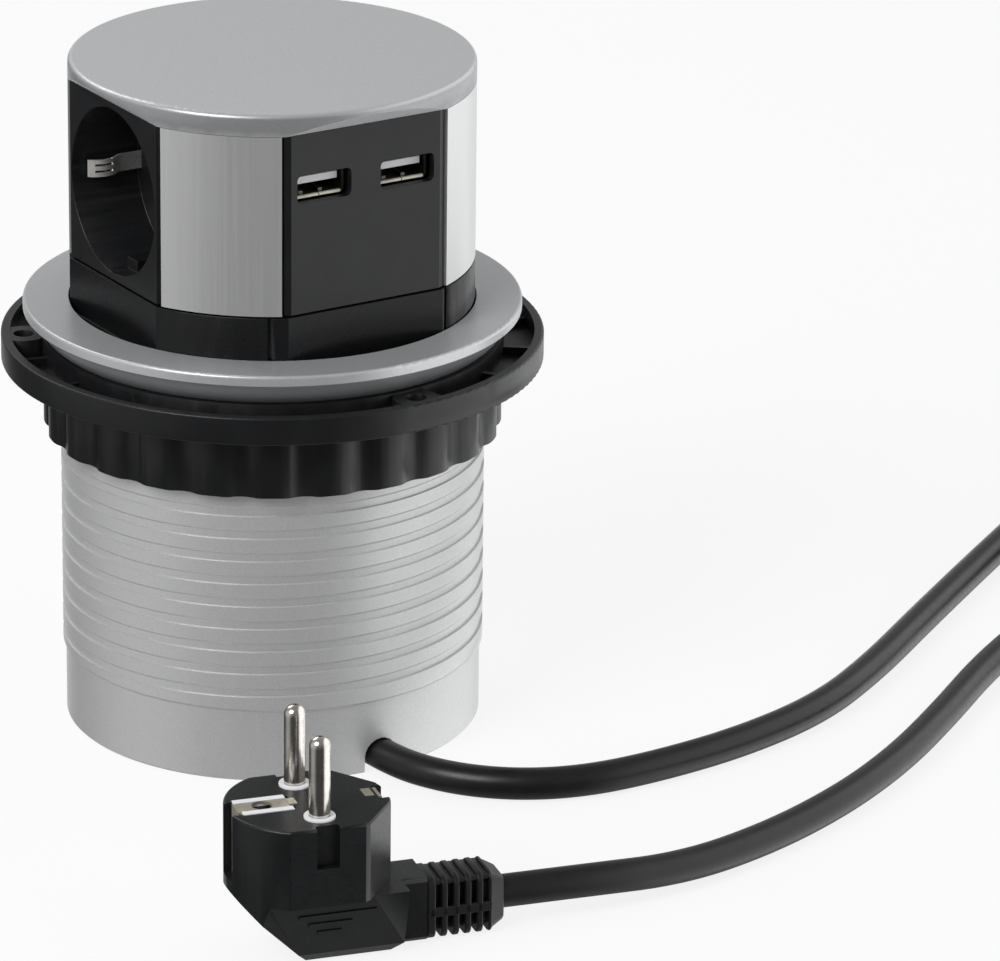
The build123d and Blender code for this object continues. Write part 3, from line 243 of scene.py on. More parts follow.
# Mains cord: the routes of the part's own tubes, and the coil between them
CORD_R = 3.8
CORD_Z = 3.85
CORD_FROM_TUBE = [
    (0.6, -37.0, CORD_Z), (0.6, -52.8, CORD_Z), (6.3, -68.2, CORD_Z), (17.2, -79.9, CORD_Z),
    (32.0, -86.6, CORD_Z), (51.0, -88.0, CORD_Z), (78.0, -85.6, CORD_Z), (106.2, -77.6, CORD_Z),
    (132.5, -62.0, CORD_Z), (161.5, -41.5, CORD_Z), (205.05, -11.7, CORD_Z), (249.66, 17.81, CORD_Z),
]
CORD_TO_PLUG = [
    (277.4, -74.48, 12.05), (257.4, -74.48, 12.05), (231.0, -68.0, 6.4), (204.5, -59.5, CORD_Z),
    (179.0, -61.5, CORD_Z), (154.0, -77.0, CORD_Z), (130.0, -95.0, CORD_Z), (105.5, -112.0, CORD_Z),
    (80.0, -125.8, CORD_Z), (52.0, -136.0, CORD_Z), (24.0, -142.4, 4.9), (-2.12, -141.71, 7.5),
    (-21.57, -137.04, 7.5),
]
COIL_START = (256.0, 22.0, CORD_Z)
COIL_START_DEG = 33.5
COIL_PITCH = 8.2
COIL_MIDDLE_R = 40.3
COIL_HALF_TURNS = 5             # in each of the two layers
POINTS_PER_HALF_TURN = 8
ROUND_STEPS = 8                 # of a cord's round section
LINE_STEPS = 10                 # of a cord's line, from one control point to the next


def coil_bends():
    """Radius, sweep and rise of the coil's bends: inwards, one that climbs, and outwards again."""
    layer = [(COIL_MIDDLE_R + COIL_PITCH / 2 * ((COIL_HALF_TURNS - 1) / 2 - i), HALF_TURN, 0)
             for i in range(COIL_HALF_TURNS)]
    reach = COIL_PITCH / 2 * (COIL_HALF_TURNS + 1) / 2
    climb = (COIL_MIDDLE_R - reach, HALF_TURN, COIL_PITCH)
    last = (COIL_MIDDLE_R + reach, COIL_START_DEG, 0)
    return layer + [climb] + layer[::-1] + [last]


def coil_points():
    """Control points of the coil, just outside the arcs of its bends."""
    points = []
    heading = COIL_START_DEG
    x, y, z = COIL_START
    for radius, sweep, rise in coil_bends():
        count = max(2, round(POINTS_PER_HALF_TURN * sweep / HALF_TURN))
        step = math.radians(sweep / count)
        stretch = radius / math.cos(step / 2)
        to_centre = math.radians(heading - QUARTER_TURN)
        cx, cy = x + radius * math.cos(to_centre), y + radius * math.sin(to_centre)
        out = math.radians(heading + QUARTER_TURN)
        for i in range(count):
            angle = out - step * (i + 0.5)
            lift = rise * eased((i + 0.5) / count)
            points.append((cx + stretch * math.cos(angle), cy + stretch * math.sin(angle), z + lift))
        end = out - math.radians(sweep)
        x, y, z = cx + radius * math.cos(end), cy + radius * math.sin(end), z + rise
        heading -= sweep
    return points


def cord_curve(name, points, radius):
    data = bpy.data.curves.new(name, "CURVE")
    data.dimensions = "3D"
    data.bevel_depth = 1.0      # times the radius of the points
    data.bevel_resolution = ROUND_STEPS
    data.resolution_u = LINE_STEPS
    data.use_fill_caps = True
    spline = data.splines.new("NURBS")
    spline.points.add(len(points) - 1)
    for target, point in zip(spline.points, points):
        target.co = (*mm(*point), 1.0)
        target.radius = radius * MM
    spline.order_u = 3
    spline.use_endpoint_u = True
    return added(name, data)


cord = cord_curve("mains_cord", CORD_FROM_TUBE + coil_points() + CORD_TO_PLUG, CORD_R)
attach(cord, "base")
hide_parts("cord_from_tube", "cord_coil", "cord_to_plug")

# Helpers for the pieces that the scene adds
MERGE_GAP = 0.000002            # in metres
SHARP_DEG = 35
BEVEL_DEG = 30
FLAT_DEG = 0.2
looks_of_pieces = []


def smooth(mesh, sharp_deg):
    """Smooth shading that keeps every edge sharper than an angle."""
    shape = bmesh.new()
    shape.from_mesh(mesh)
    limit = math.radians(sharp_deg)
    for edge in shape.edges:
        edge.smooth = edge.is_manifold and edge.calc_face_angle(math.pi) < limit
    for face in shape.faces:
        face.smooth = True
    shape.to_mesh(mesh)
    shape.free()


def new_piece(name, points, faces, body, slot, replaces=(), sharp_deg=SHARP_DEG):
    """Closed mesh riding on a CAD body, without doubled or unused points."""
    mesh = bpy.data.meshes.new(name)
    mesh.from_pydata([mm(*point) for point in points], [], faces)
    shape = bmesh.new()
    shape.from_mesh(mesh)
    bmesh.ops.remove_doubles(shape, verts=shape.verts, dist=MERGE_GAP)
    bmesh.ops.dissolve_degenerate(shape, edges=shape.edges, dist=MERGE_GAP)
    bmesh.ops.recalc_face_normals(shape, faces=shape.faces)
    unused = [vert for vert in shape.verts if not vert.link_faces]
    bmesh.ops.delete(shape, geom=unused, context="VERTS")
    shape.to_mesh(mesh)
    shape.free()
    smooth(mesh, sharp_deg)
    obj = added(name, mesh)
    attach(obj, body)
    if replaces:
        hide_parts(*replaces)
    looks_of_pieces.append((obj, slot))
    return obj


def bevelled(obj, width, segments=2, angle=BEVEL_DEG, flat=False):
    """Round the sharp edges of a mesh by modifiers alone."""
    weld = obj.modifiers.new("weld", "WELD")
    weld.merge_threshold = MERGE_GAP
    if flat:
        plain = obj.modifiers.new("flat_faces", "DECIMATE")
        plain.decimate_type = "DISSOLVE"
        plain.angle_limit = math.radians(FLAT_DEG)
    bevel = obj.modifiers.new("bevel", "BEVEL")
    bevel.width = width * MM
    bevel.segments = segments
    bevel.limit_method = "ANGLE"
    bevel.angle_limit = math.radians(angle)
    bevel.use_clamp_overlap = True
    bevel.harden_normals = True


def prism(outline, low, high):
    """Points and faces of a closed upright prism over an outline."""
    count = len(outline)
    points = [(x, y, low) for x, y in outline] + [(x, y, high) for x, y in outline]
    faces = [tuple(range(count))[::-1], tuple(range(count, 2 * count))]
    for i in range(count):
        j = (i + 1) % count
        faces.append((i, j, count + j, count + i))
    return points, faces


def brick(x0, x1, y0, y1, z0, z1):
    return prism([(x0, y0), (x1, y0), (x1, y1), (x0, y1)], z0, z1)


def joined(shapes):
    """Points and faces of several closed shapes as one list."""
    points, faces = [], []
    for some_points, some_faces in shapes:
        offset = len(points)
        points += some_points
        faces += [tuple(offset + i for i in face) for face in some_faces]
    return points, faces


def moved(points, turn_deg=0.0, shift=(0, 0, 0)):
    """Points turned round the Z axis, then shifted."""
    angle = math.radians(turn_deg)
    c, s = math.cos(angle), math.sin(angle)
    return [(x * c - y * s + shift[0], x * s + y * c + shift[1], z + shift[2]) for x, y, z in points]


# Threaded tube, which stands for the CAD tube that has its thread drawn as a plain cylinder
THREAD_R, THREAD_FLOOR_R = 50.0, 49.45
FOOT_R = 49.3
BORE_R = 48.4
FOOT_BORE_R = 46.2
SHELF_R = 39.5
SHELF_LOW, SHELF_TOP = 12.1, 15.1
FOOT_TOP = 17.6
FOOT_EDGE = 0.5
THREAD_LOW, THREAD_TOP = 18.3, 101.2
THREAD_PITCH = 5.6
THREAD_EDGE_Z = 66.2            # height of one sharp edge of the thread at THREAD_EDGE_DEG
THREAD_EDGE_DEG = 239.1
THREAD_PROFILE = (              # rise within a turn, and radius
    (0.0, THREAD_R), (0.14, THREAD_FLOOR_R), (1.85, THREAD_FLOOR_R), (2.45, THREAD_R),
)
THREAD_TURNS = range(-11, 9)
THREAD_FADE = 1.2
NOTCH_R = 4.3
NOTCH_X = 0.6
NOTCH_STEPS = 10
TUBE_COLUMNS = 176
TUBE_SHARP_DEG = 24


def notch_deg(radius, side):
    """Azimuth where the wall of a radius meets a side of the cord's notch."""
    return -math.degrees(math.acos((NOTCH_X + side) / radius))


def tube_columns():
    """Azimuth at the outer and the inner wall, and foot of the wall, of each column round the tube."""
    outer_from, outer_to = notch_deg(FOOT_R, NOTCH_R), notch_deg(FOOT_R, -NOTCH_R) + FULL_TURN
    inner_from, inner_to = notch_deg(FOOT_BORE_R, NOTCH_R), notch_deg(FOOT_BORE_R, -NOTCH_R) + FULL_TURN
    columns = []
    for i in range(TUBE_COLUMNS):
        share = i / TUBE_COLUMNS
        columns.append((outer_from + share * (outer_to - outer_from),
                        inner_from + share * (inner_to - inner_from), CORD_Z))
    for i in range(NOTCH_STEPS):
        angle = math.pi * i / NOTCH_STEPS
        side = -NOTCH_R * math.cos(angle)
        columns.append((notch_deg(FOOT_R, side) + FULL_TURN, notch_deg(FOOT_BORE_R, side) + FULL_TURN,
                        CORD_Z + NOTCH_R * math.sin(angle)))
    return columns


def tube_points(columns):
    """Points of the tube, and their numbers up the outside, up the inside and round the foot."""
    points, outer, inner, foot = [], [], [], []

    def add(radius, degrees, z):
        points.append(round_point(radius, degrees, z))
        return len(points) - 1

    for outer_deg, inner_deg, wall_low in columns:
        foot.append((add(FOOT_R - FOOT_EDGE, outer_deg, 0), add(FOOT_R, outer_deg, FOOT_EDGE),
                     add(FOOT_BORE_R, inner_deg, 0)))
        rows = [add(FOOT_R, outer_deg, wall_low), add(FOOT_R, outer_deg, FOOT_TOP)]
        for turn in THREAD_TURNS:
            climbed = THREAD_PITCH * (turn + (outer_deg - THREAD_EDGE_DEG) / FULL_TURN)
            for rise, radius in THREAD_PROFILE:
                z = THREAD_EDGE_Z + rise + climbed
                fade = min(1.0, max(0.0, min(z - THREAD_LOW, THREAD_TOP - z) / THREAD_FADE))
                faded = THREAD_R - (THREAD_R - radius) * fade
                rows.append(add(faded, outer_deg, min(max(z, THREAD_LOW), THREAD_TOP)))
        outer.append(rows)
        inner.append([add(FOOT_BORE_R, inner_deg, wall_low), add(FOOT_BORE_R, inner_deg, SHELF_LOW),
                      add(SHELF_R, inner_deg, SHELF_LOW), add(SHELF_R, inner_deg, SHELF_TOP),
                      add(BORE_R, inner_deg, SHELF_TOP), add(BORE_R, inner_deg, THREAD_TOP)])
    return points, outer, inner, foot


def tube_faces(outer, inner, foot):
    """Faces between neighbouring columns, where the last joins the first one thread turn higher."""
    faces = []
    count = len(outer)
    for i in range(count):
        j = (i + 1) % count
        shift = len(THREAD_PROFILE) if j == 0 else 0
        a, b = outer[i], outer[j]
        faces.append((a[0], b[0], b[1], a[1]))
        faces.append((a[1], b[1], b[2], a[2]))
        for k in range(2, len(a) - 1 - shift):
            faces.append((a[k], b[k + shift], b[k + 1 + shift], a[k + 1]))
        faces.append((a[-1], b[-1], inner[j][-1], inner[i][-1]))
        for k in range(len(inner[i]) - 1):
            faces.append((inner[i][k + 1], inner[j][k + 1], inner[j][k], inner[i][k]))
        if i < TUBE_COLUMNS:
            faces.append((foot[i][1], foot[j][1], b[0], a[0]))
            faces.append((foot[i][0], foot[j][0], foot[j][1], foot[i][1]))
            faces.append((foot[i][2], foot[j][2], foot[j][0], foot[i][0]))
            faces.append((inner[i][0], inner[j][0], foot[j][2], foot[i][2]))
        else:
            faces.append((inner[i][0], inner[j][0], b[0], a[0]))
    for i in (0, TUBE_COLUMNS):
        faces.append((foot[i][0], foot[i][1], outer[i][0], inner[i][0], foot[i][2]))
    return faces


def threaded_tube():
    points, *rows = tube_points(tube_columns())
    new_piece("threaded_tube", points, tube_faces(*rows), "base", "tube_alloy", ["outer_tube"],
              TUBE_SHARP_DEG)


threaded_tube()

# Loose lead inside the tube, in turns drawn in at a waist, between the heights of the CAD lead
LEAD_R = 3.0
LEAD_COIL_R, LEAD_WAIST_R = 26.0, 17.9      # the waist clears the head's lug when the head is down
LEAD_START_DEG = 200.0
LEAD_TURNS = 2
LEAD_STEPS = 32


def lead_route(low_z, high_z):
    """Control points of the lead: a straight end, its turns drawn in at the waist, a straight end."""
    step = FULL_TURN * LEAD_TURNS / LEAD_STEPS
    stretch = 1 / math.cos(math.radians(step / 2))
    turns = []
    for i in range(LEAD_STEPS):
        share = (i + 0.5) / LEAD_STEPS
        radius = LEAD_COIL_R - (LEAD_COIL_R - LEAD_WAIST_R) * math.sin(math.pi * share) ** 2
        turns.append(round_point(stretch * radius, LEAD_START_DEG + step * (i + 0.5),
                                 low_z + eased(share) * (high_z - low_z)))
    start = Vector(round_point(LEAD_COIL_R, LEAD_START_DEG, 0))
    along = Vector(round_point(2 * LEAD_R, LEAD_START_DEG + QUARTER_TURN, 0))
    first = tuple(start - along + Vector((0, 0, low_z)))
    last = tuple(start + along + Vector((0, 0, high_z)))
    return [first] + turns + [last]


def folding_lead():
    low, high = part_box("inner_lead")
    low_z, high_z = low[2] / MM + LEAD_R, high[2] / MM - LEAD_R
    line = cord_curve("inner_lead_line", lead_route(low_z, high_z), LEAD_R)
    shape = bpy.data.meshes.new_from_object(line.evaluated_get(bpy.context.evaluated_depsgraph_get()))
    bpy.data.objects.remove(line)
    lead = added("folding_lead", shape)
    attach(lead, "base")
    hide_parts("inner_lead")
    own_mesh(lead)
    looks_of_pieces.append((lead, "cable_black"))


folding_lead()

# Earth springs with three ridges on each arm, in place of the plain CAD strips
HEAD_MIDDLE = 135.5
SPRING_LINE = ((39.0, 18.3), (37.6, 17.2), (35.6, 16.5), (33.4, 16.7), (30.8, 18.4), (22.4, 18.4))
SPRING_RIDGED, SPRING_TIP, SPRING_BASE = slice(0, 5), slice(0, 2), slice(3, None)   # points of the line
SPRING_T, SPRING_BASE_T, SPRING_BACK_T = 0.55, 0.44, 0.7
SPRING_RIDGE_W = 1.0
SPRING_RIDGE_PITCH = 1.55
SPRING_HALF_W = 2.1
SPRING_TIP_HALF_W = 1.5
SPRING_SHARP_DEG = 50
SPRING_DEGS = {"right": 0, "rear": 90, "left": 180}


def ribbon(line, thick, half_w, middle=HEAD_MIDDLE):
    """Closed upright strip of a thickness along a line of x and y."""
    sides = []
    for i, (x, y) in enumerate(line):
        xa, ya = line[max(i - 1, 0)]
        xb, yb = line[min(i + 1, len(line) - 1)]
        run = math.hypot(xb - xa, yb - ya)
        nx, ny = -(yb - ya) / run, (xb - xa) / run
        sides.append(((x + nx * thick / 2, y + ny * thick / 2), (x - nx * thick / 2, y - ny * thick / 2)))
    outline = [a for a, b in sides] + [b for a, b in reversed(sides)]
    return prism(outline, middle - half_w, middle + half_w)


def earth_springs(name, degrees):
    shapes = []
    for side in (-1, 1):
        arm = [(x, side * y) for x, y in SPRING_LINE]
        for i in (-1, 0, 1):
            middle = HEAD_MIDDLE + i * SPRING_RIDGE_PITCH
            shapes.append(ribbon(arm[SPRING_RIDGED], SPRING_T, SPRING_RIDGE_W / 2, middle))
        shapes.append(ribbon(arm[SPRING_TIP], SPRING_T, SPRING_TIP_HALF_W))
        shapes.append(ribbon(arm[SPRING_BASE], SPRING_BASE_T, SPRING_HALF_W))
    back_x, back_y = SPRING_LINE[-1]
    shapes.append(brick(back_x - SPRING_BACK_T / 2, back_x + SPRING_BACK_T / 2, -back_y, back_y,
                        HEAD_MIDDLE - SPRING_HALF_W, HEAD_MIDDLE + SPRING_HALF_W))
    points, faces = joined(shapes)
    new_piece("earth_springs_" + name, moved(points, degrees), faces, "head", "spring_metal",
              ["earth_clip_" + name], SPRING_SHARP_DEG)


for spring_name, spring_deg in SPRING_DEGS.items():
    earth_springs(spring_name, spring_deg)

# Charging ports: shells set back in the plate with their springs, tongues, contacts and folds; the shells
# carry painted shade and the folds a painted highlight
PORT_X = 11.0
PORT_Z = 143.8
PORT_HALF_W, PORT_HALF_H = 6.6, 2.9
PORT_WALL = 0.45
SHELL_FRONT, SHELL_BACK = -39.9, -28.7
TONGUE_FRONT = -38.8
TONGUE_LEFT, TONGUE_RIGHT = -5.6, 5.4
TONGUE_LOW, TONGUE_HIGH = 0.15, 1.8         # above the middle of the port
CONTACT_XS = (-3.5, -1.0, 1.0, 3.5)
CONTACT_HALF_W = 0.55
CONTACT_INSET = 1.4
CONTACT_LOW = -0.05
FOLD_SPANS = ((-6.1, -0.15), (0.15, 5.7))
FOLD_PROUD, FOLD_INSET = 0.1, 0.7
FOLD_DROP, FOLD_RISE = 0.02, 0.5
PORT_SPRING_XS = (-4.1, 1.0)
PORT_SPRING_HALF_W = 0.5
PORT_SPRING_FRONT, PORT_SPRING_BACK = 1.2, 5.0        # behind the front of the shell
PORT_SPRING_RISE = 1.3


def port_shell(x, low, high):
    """Four walls, back and floor springs of one port."""
    left, right = x - PORT_HALF_W, x + PORT_HALF_W
    shapes = [
        brick(left, right, SHELL_FRONT, SHELL_BACK, low, low + PORT_WALL),
        brick(left, right, SHELL_FRONT, SHELL_BACK, high - PORT_WALL, high),
        brick(left, left + PORT_WALL, SHELL_FRONT, SHELL_BACK, low, high),
        brick(right - PORT_WALL, right, SHELL_FRONT, SHELL_BACK, low, high),
        brick(left, right, SHELL_BACK - PORT_WALL, SHELL_BACK, low, high),
    ]
    for place in PORT_SPRING_XS:
        shapes.append(brick(x + place - PORT_SPRING_HALF_W, x + place + PORT_SPRING_HALF_W,
                            SHELL_FRONT + PORT_SPRING_FRONT, SHELL_FRONT + PORT_SPRING_BACK,
                            low + PORT_WALL, low + PORT_SPRING_RISE))
    return shapes


def port_pieces():
    shells, tongues, contacts, folds = [], [], [], []
    low, high = PORT_Z - PORT_HALF_H, PORT_Z + PORT_HALF_H
    for x in (-PORT_X, PORT_X):
        shells += port_shell(x, low, high)
        tongues.append(brick(x + TONGUE_LEFT, x + TONGUE_RIGHT, TONGUE_FRONT, SHELL_BACK,
                             PORT_Z + TONGUE_LOW, PORT_Z + TONGUE_HIGH))
        for place in CONTACT_XS:
            contacts.append(brick(x + place - CONTACT_HALF_W, x + place + CONTACT_HALF_W,
                                  TONGUE_FRONT + CONTACT_INSET, SHELL_BACK,
                                  PORT_Z + CONTACT_LOW, PORT_Z + TONGUE_LOW))
        for start, end in FOLD_SPANS:
            folds.append(brick(x + start, x + end, SHELL_FRONT - FOLD_PROUD, SHELL_FRONT + FOLD_INSET,
                               low - FOLD_DROP, low + FOLD_RISE))
    new_piece("port_shells", *joined(shells), "head", "shell_metal", ["usb_shells"])
    new_piece("port_tongues", *joined(tongues), "head", "white_plastic", ["usb_tongues"])
    new_piece("port_contacts", *joined(contacts), "head", "brass")
    # The folds' pale colour is a painted highlight on the shells' lips
    new_piece("port_folds", *joined(folds), "head", "bright_fold")


port_pieces()

# Grip lines on the two slanted sides of the plug
PLUG_PLACE = (-64.84, -126.65, 0)
PLUG_DEG = -13.5
SLANT_LOW, SLANT_TOP = (9.5, 2.4), (13.6, 16.5)     # distance from the middle, and height
GRIPS = ((12.7, -5.6, 12.2), (10.4, -3.2, 6.8), (8.1, -1.0, 4.6))   # height, and reach along the plug
GRIP_HALF_H = 0.4
GRIP_SINK, GRIP_PROUD = 0.25, 0.3
BOX_FACES = [(0, 1, 3, 2), (4, 6, 7, 5), (0, 4, 5, 1), (2, 3, 7, 6), (1, 5, 7, 3), (0, 2, 6, 4)]


def slant_distance(height):
    """Distance of the slanted side from the middle of the plug at a height."""
    slope = (SLANT_TOP[0] - SLANT_LOW[0]) / (SLANT_TOP[1] - SLANT_LOW[1])
    return SLANT_LOW[0] + slope * (height - SLANT_LOW[1])


def grip_lines():
    shapes = []
    for side in (-1, 1):
        for height, x0, x1 in GRIPS:
            corners = [(x, side * (slant_distance(z) + out), z)
                       for x in (x0, x1)
                       for z in (height - GRIP_HALF_H, height + GRIP_HALF_H)
                       for out in (-GRIP_SINK, GRIP_PROUD)]
            shapes.append((corners, BOX_FACES))
    points, faces = joined(shapes)
    new_piece("plug_grip_lines", moved(points, PLUG_DEG, PLUG_PLACE), faces, "base", "black_gloss")


grip_lines()

# White bars and folded tab of the plug's earth contact, and the end of its other strip
PLUG_TOP = 35.0
BAR_NEAR, BAR_FAR = 2.35, 4.2
BARS = ((-16.0, -4.3, BAR_NEAR, BAR_FAR), (-15.6, -4.0, -BAR_FAR, -BAR_NEAR))   # x and y spans
BAR_SINK, BAR_PROUD = 1.1, 0.2
TABS = (                        # x and y spans, and height over the plug's top
    (-4.6, -2.6, -1.5, 1.7, 0.3), (-6.3, -4.4, -2.9, 2.0, 0.16), (12.9, 15.0, -1.6, 2.6, 0.05),
)
TAB_SINK = 0.5


def earth_contact():
    bars = [brick(*spans, PLUG_TOP - BAR_SINK, PLUG_TOP + BAR_PROUD) for spans in BARS]
    points, faces = joined(bars)
    new_piece("plug_earth_bars", moved(points, PLUG_DEG, PLUG_PLACE), faces, "base", "white_plastic",
              ["plug_earth_frame"])
    tabs = [brick(*spans, PLUG_TOP - TAB_SINK, PLUG_TOP + proud) for *spans, proud in TABS]
    points, faces = joined(tabs)
    new_piece("plug_earth_tabs", moved(points, PLUG_DEG, PLUG_PLACE), faces, "base", "earth_plate")


earth_contact()

# Strain relief: ribs round a slimmer core, with a band along its sides and a flat bar along its top
RELIEF_MIDDLE = 7.5
RELIEF_HALF_W, RELIEF_HALF_H, RELIEF_EDGE = 5.8, 7.3, 2.2
CORE_HALF_W, CORE_HALF_H = 3.4, 6.5
BAND_HALF_H, BAND_EDGE, BAND_SHIFT = 1.2, 0.4, -0.7
UPPER_HALF_W, UPPER_HALF_H, UPPER_EDGE, UPPER_SHIFT = 5.2, 0.55, 0.5, 6.1
RELIEF_START_X, RELIEF_TIP_X, RELIEF_END_X = 26.1, 41.3, 44.5
RIB_START_X, RIB_PITCH, RIB_T, RIB_COUNT = 29.45, 2.75, 1.45, 4
ROOT_INSET = 0.5
TIP_SHARE = 0.72
TIP_ROOT, TIP_TAPER, TIP_INSET = 3.0, 0.8, 0.05
CORNER_STEPS = 5
RELIEF_SHARP_DEG = 30
RELIEF_BEVEL, RELIEF_BEVEL_SEGMENTS, RELIEF_BEVEL_DEG = 0.4, 3, 50


def rounded_section(half_w, half_h, edge, shift=0.0):
    """Points of a rounded rectangle across the cord, as y and z from the relief's middle."""
    outline = []
    for i, (cy, cz) in enumerate(((1, 1), (-1, 1), (-1, -1), (1, -1))):
        for k in range(CORNER_STEPS + 1):
            angle = math.radians(QUARTER_TURN * i + QUARTER_TURN * k / CORNER_STEPS)
            outline.append((cy * (half_w - edge) + edge * math.cos(angle),
                            cz * (half_h - edge) + edge * math.sin(angle) + shift))
    return outline


def along_x(first, x0, last, x1):
    """Closed solid between two sections of as many points."""
    count = len(first)
    points = [(x0, y, RELIEF_MIDDLE + z) for y, z in first] + [(x1, y, RELIEF_MIDDLE + z) for y, z in last]
    faces = [tuple(range(count)), tuple(range(count, 2 * count))[::-1]]
    for i in range(count):
        j = (i + 1) % count
        faces.append((i, count + i, count + j, j))
    return points, faces


def ribbed_relief():
    full = rounded_section(RELIEF_HALF_W, RELIEF_HALF_H, RELIEF_EDGE)
    tip = rounded_section(RELIEF_HALF_W * TIP_SHARE, RELIEF_HALF_H * TIP_SHARE, RELIEF_EDGE * TIP_SHARE)
    inner_sections = [
        rounded_section(CORE_HALF_W, CORE_HALF_H, RELIEF_EDGE),
        rounded_section(RELIEF_HALF_W, BAND_HALF_H, BAND_EDGE, BAND_SHIFT),
        rounded_section(UPPER_HALF_W, UPPER_HALF_H, UPPER_EDGE, UPPER_SHIFT),
    ]
    shapes = [along_x(full, RELIEF_START_X, full, RIB_START_X - RIB_PITCH + RIB_T)]
    for section in inner_sections:
        shapes.append(along_x(section, RELIEF_START_X + ROOT_INSET, section, RELIEF_TIP_X))
    shapes.append(along_x(tip, RELIEF_TIP_X - TIP_ROOT, tip, RELIEF_END_X))
    for i in range(RIB_COUNT):
        x = RIB_START_X + RIB_PITCH * i
        shapes.append(along_x(full, x, full, x + RIB_T))
    shapes.append(along_x(full, RIB_START_X + RIB_PITCH * RIB_COUNT, full, RELIEF_TIP_X))
    shapes.append(along_x(full, RELIEF_TIP_X - TIP_TAPER, tip, RELIEF_END_X - TIP_INSET))
    points, faces = joined(shapes)
    relief = new_piece("ribbed_relief", moved(points, PLUG_DEG, PLUG_PLACE), faces, "base", "black_plastic",
                       ["plug_strain_relief"], RELIEF_SHARP_DEG)
    bevelled(relief, RELIEF_BEVEL, RELIEF_BEVEL_SEGMENTS, RELIEF_BEVEL_DEG)


ribbed_relief()

# Rounded edges of CAD pieces, by width
FLAT_FACED = ("usb_plate",)     # pieces whose flat faces are merged first
EDGES = {
    "clamp_nut": 0.5, "mounting_ring": 0.3, "carriage": 0.35, "plug_body": 0.7,
    "usb_plate": 0.3, "socket_insert_left": 0.25, "socket_insert_right": 0.25, "socket_insert_rear": 0.25,
    "cap": 0.12, "cord_gland": 0.4, "plug_pin_collars": 0.15, "bottom_cover": 0.3,
}
for node, width in EDGES.items():
    bevelled(frame["nodes"][node], width, flat=node in FLAT_FACED)


# Materials
PAINTED_UNDER_LIGHT = 1.6                # painted light: brightness of lacquer that looks down, where its sides get painted shade


def shader(name, color, metallic=0.0, roughness=0.5, **values):
    """Principled material; other values are named after its sockets."""
    material = bpy.data.materials.new(name)
    material.use_nodes = True
    bsdf = material.node_tree.nodes["Principled BSDF"]
    bsdf.inputs["Base Color"].default_value = (*color, 1)
    bsdf.inputs["Metallic"].default_value = metallic
    bsdf.inputs["Roughness"].default_value = roughness
    for socket, value in values.items():
        bsdf.inputs[socket.replace("_", " ").title().replace("Ior", "IOR")].default_value = value
    return material


def feed(material, source, socket):
    bsdf = material.node_tree.nodes["Principled BSDF"]
    material.node_tree.links.new(source, bsdf.inputs[socket])


def noise(material, scale, detail=3.0, stretch=(1, 1, 1), rough=0.6):
    """Noise in the object's own coordinates, stretched along its axes."""
    nodes, links = material.node_tree.nodes, material.node_tree.links
    coords = nodes.new("ShaderNodeTexCoord")
    mapping = nodes.new("ShaderNodeMapping")
    mapping.inputs["Scale"].default_value = stretch
    texture = nodes.new("ShaderNodeTexNoise")
    texture.inputs["Scale"].default_value = scale
    texture.inputs["Detail"].default_value = detail
    texture.inputs["Roughness"].default_value = rough
    links.new(coords.outputs["Object"], mapping.inputs["Vector"])
    links.new(mapping.outputs[0], texture.inputs["Vector"])
    return texture.outputs["Fac"]


def rgba(value):
    """Colour from a grey value or from its three parts."""
    return (*value, 1) if isinstance(value, tuple) else (value, value, value, 1)


def ramp(material, source, *stops):
    """Colour or grey value between stops, each a place and a value."""
    node = material.node_tree.nodes.new("ShaderNodeValToRGB")
    elements = node.color_ramp.elements
    for element, (place, value) in zip((elements[0], elements[1]), (stops[0], stops[-1])):
        element.position = place
        element.color = rgba(value)
    for place, value in stops[1:-1]:
        elements.new(place).color = rgba(value)
    material.node_tree.links.new(source, node.inputs[0])
    return node.outputs["Color"]


def bump(material, height, strength, distance):
    node = material.node_tree.nodes.new("ShaderNodeBump")
    node.inputs["Strength"].default_value = strength
    node.inputs["Distance"].default_value = distance
    material.node_tree.links.new(height, node.inputs["Height"])
    feed(material, node.outputs[0], "Normal")


def painted_side_shade(material, source, side):
    """Colour with painted shade on upright surfaces and painted light on those that look down."""
    nodes, links = material.node_tree.nodes, material.node_tree.links
    place = nodes.new("ShaderNodeNewGeometry")
    parts = nodes.new("ShaderNodeSeparateXYZ")
    links.new(place.outputs["Normal"], parts.inputs[0])
    span = nodes.new("ShaderNodeMapRange")
    span.inputs["From Min"].default_value = -1.0
    links.new(parts.outputs["Z"], span.inputs["Value"])
    # From 0, looking down, to 1, looking up: painted light below, painted shade on upright surfaces
    tone = ramp(material, span.outputs["Result"], (0.15, PAINTED_UNDER_LIGHT), (0.42, side), (0.62, side), (0.97, 1.0))
    shade = nodes.new("ShaderNodeVectorMath")
    shade.operation = "MULTIPLY"
    links.new(source, shade.inputs[0])
    links.new(tone, shade.inputs[1])
    return shade.outputs["Vector"]


def lacquered_metal(name, low, high, roughness, grain, side=1.0, coat=0.12):
    """Satin silver lacquer: fine sparkle in colour, and a fine grain in the surface. With side below 1,
    painted shade on upright surfaces and painted light on those that look down.
    """
    material = shader(name, high, metallic=0.5, roughness=roughness, coat_weight=coat, coat_roughness=0.15)
    sparkle = noise(material, scale=5200, detail=2.0)
    tone = ramp(material, sparkle, (0.35, low), (0.65, high))
    # With side below 1: painted shade on upright surfaces, painted light on those that look down
    feed(material, painted_side_shade(material, tone, side) if side < 1 else tone, "Base Color")
    sheen = ramp(material, noise(material, scale=900), (0.3, roughness - 0.05), (0.7, roughness + 0.06))
    feed(material, sheen, "Roughness")
    bump(material, sparkle, strength=grain, distance=0.00008)
    return material


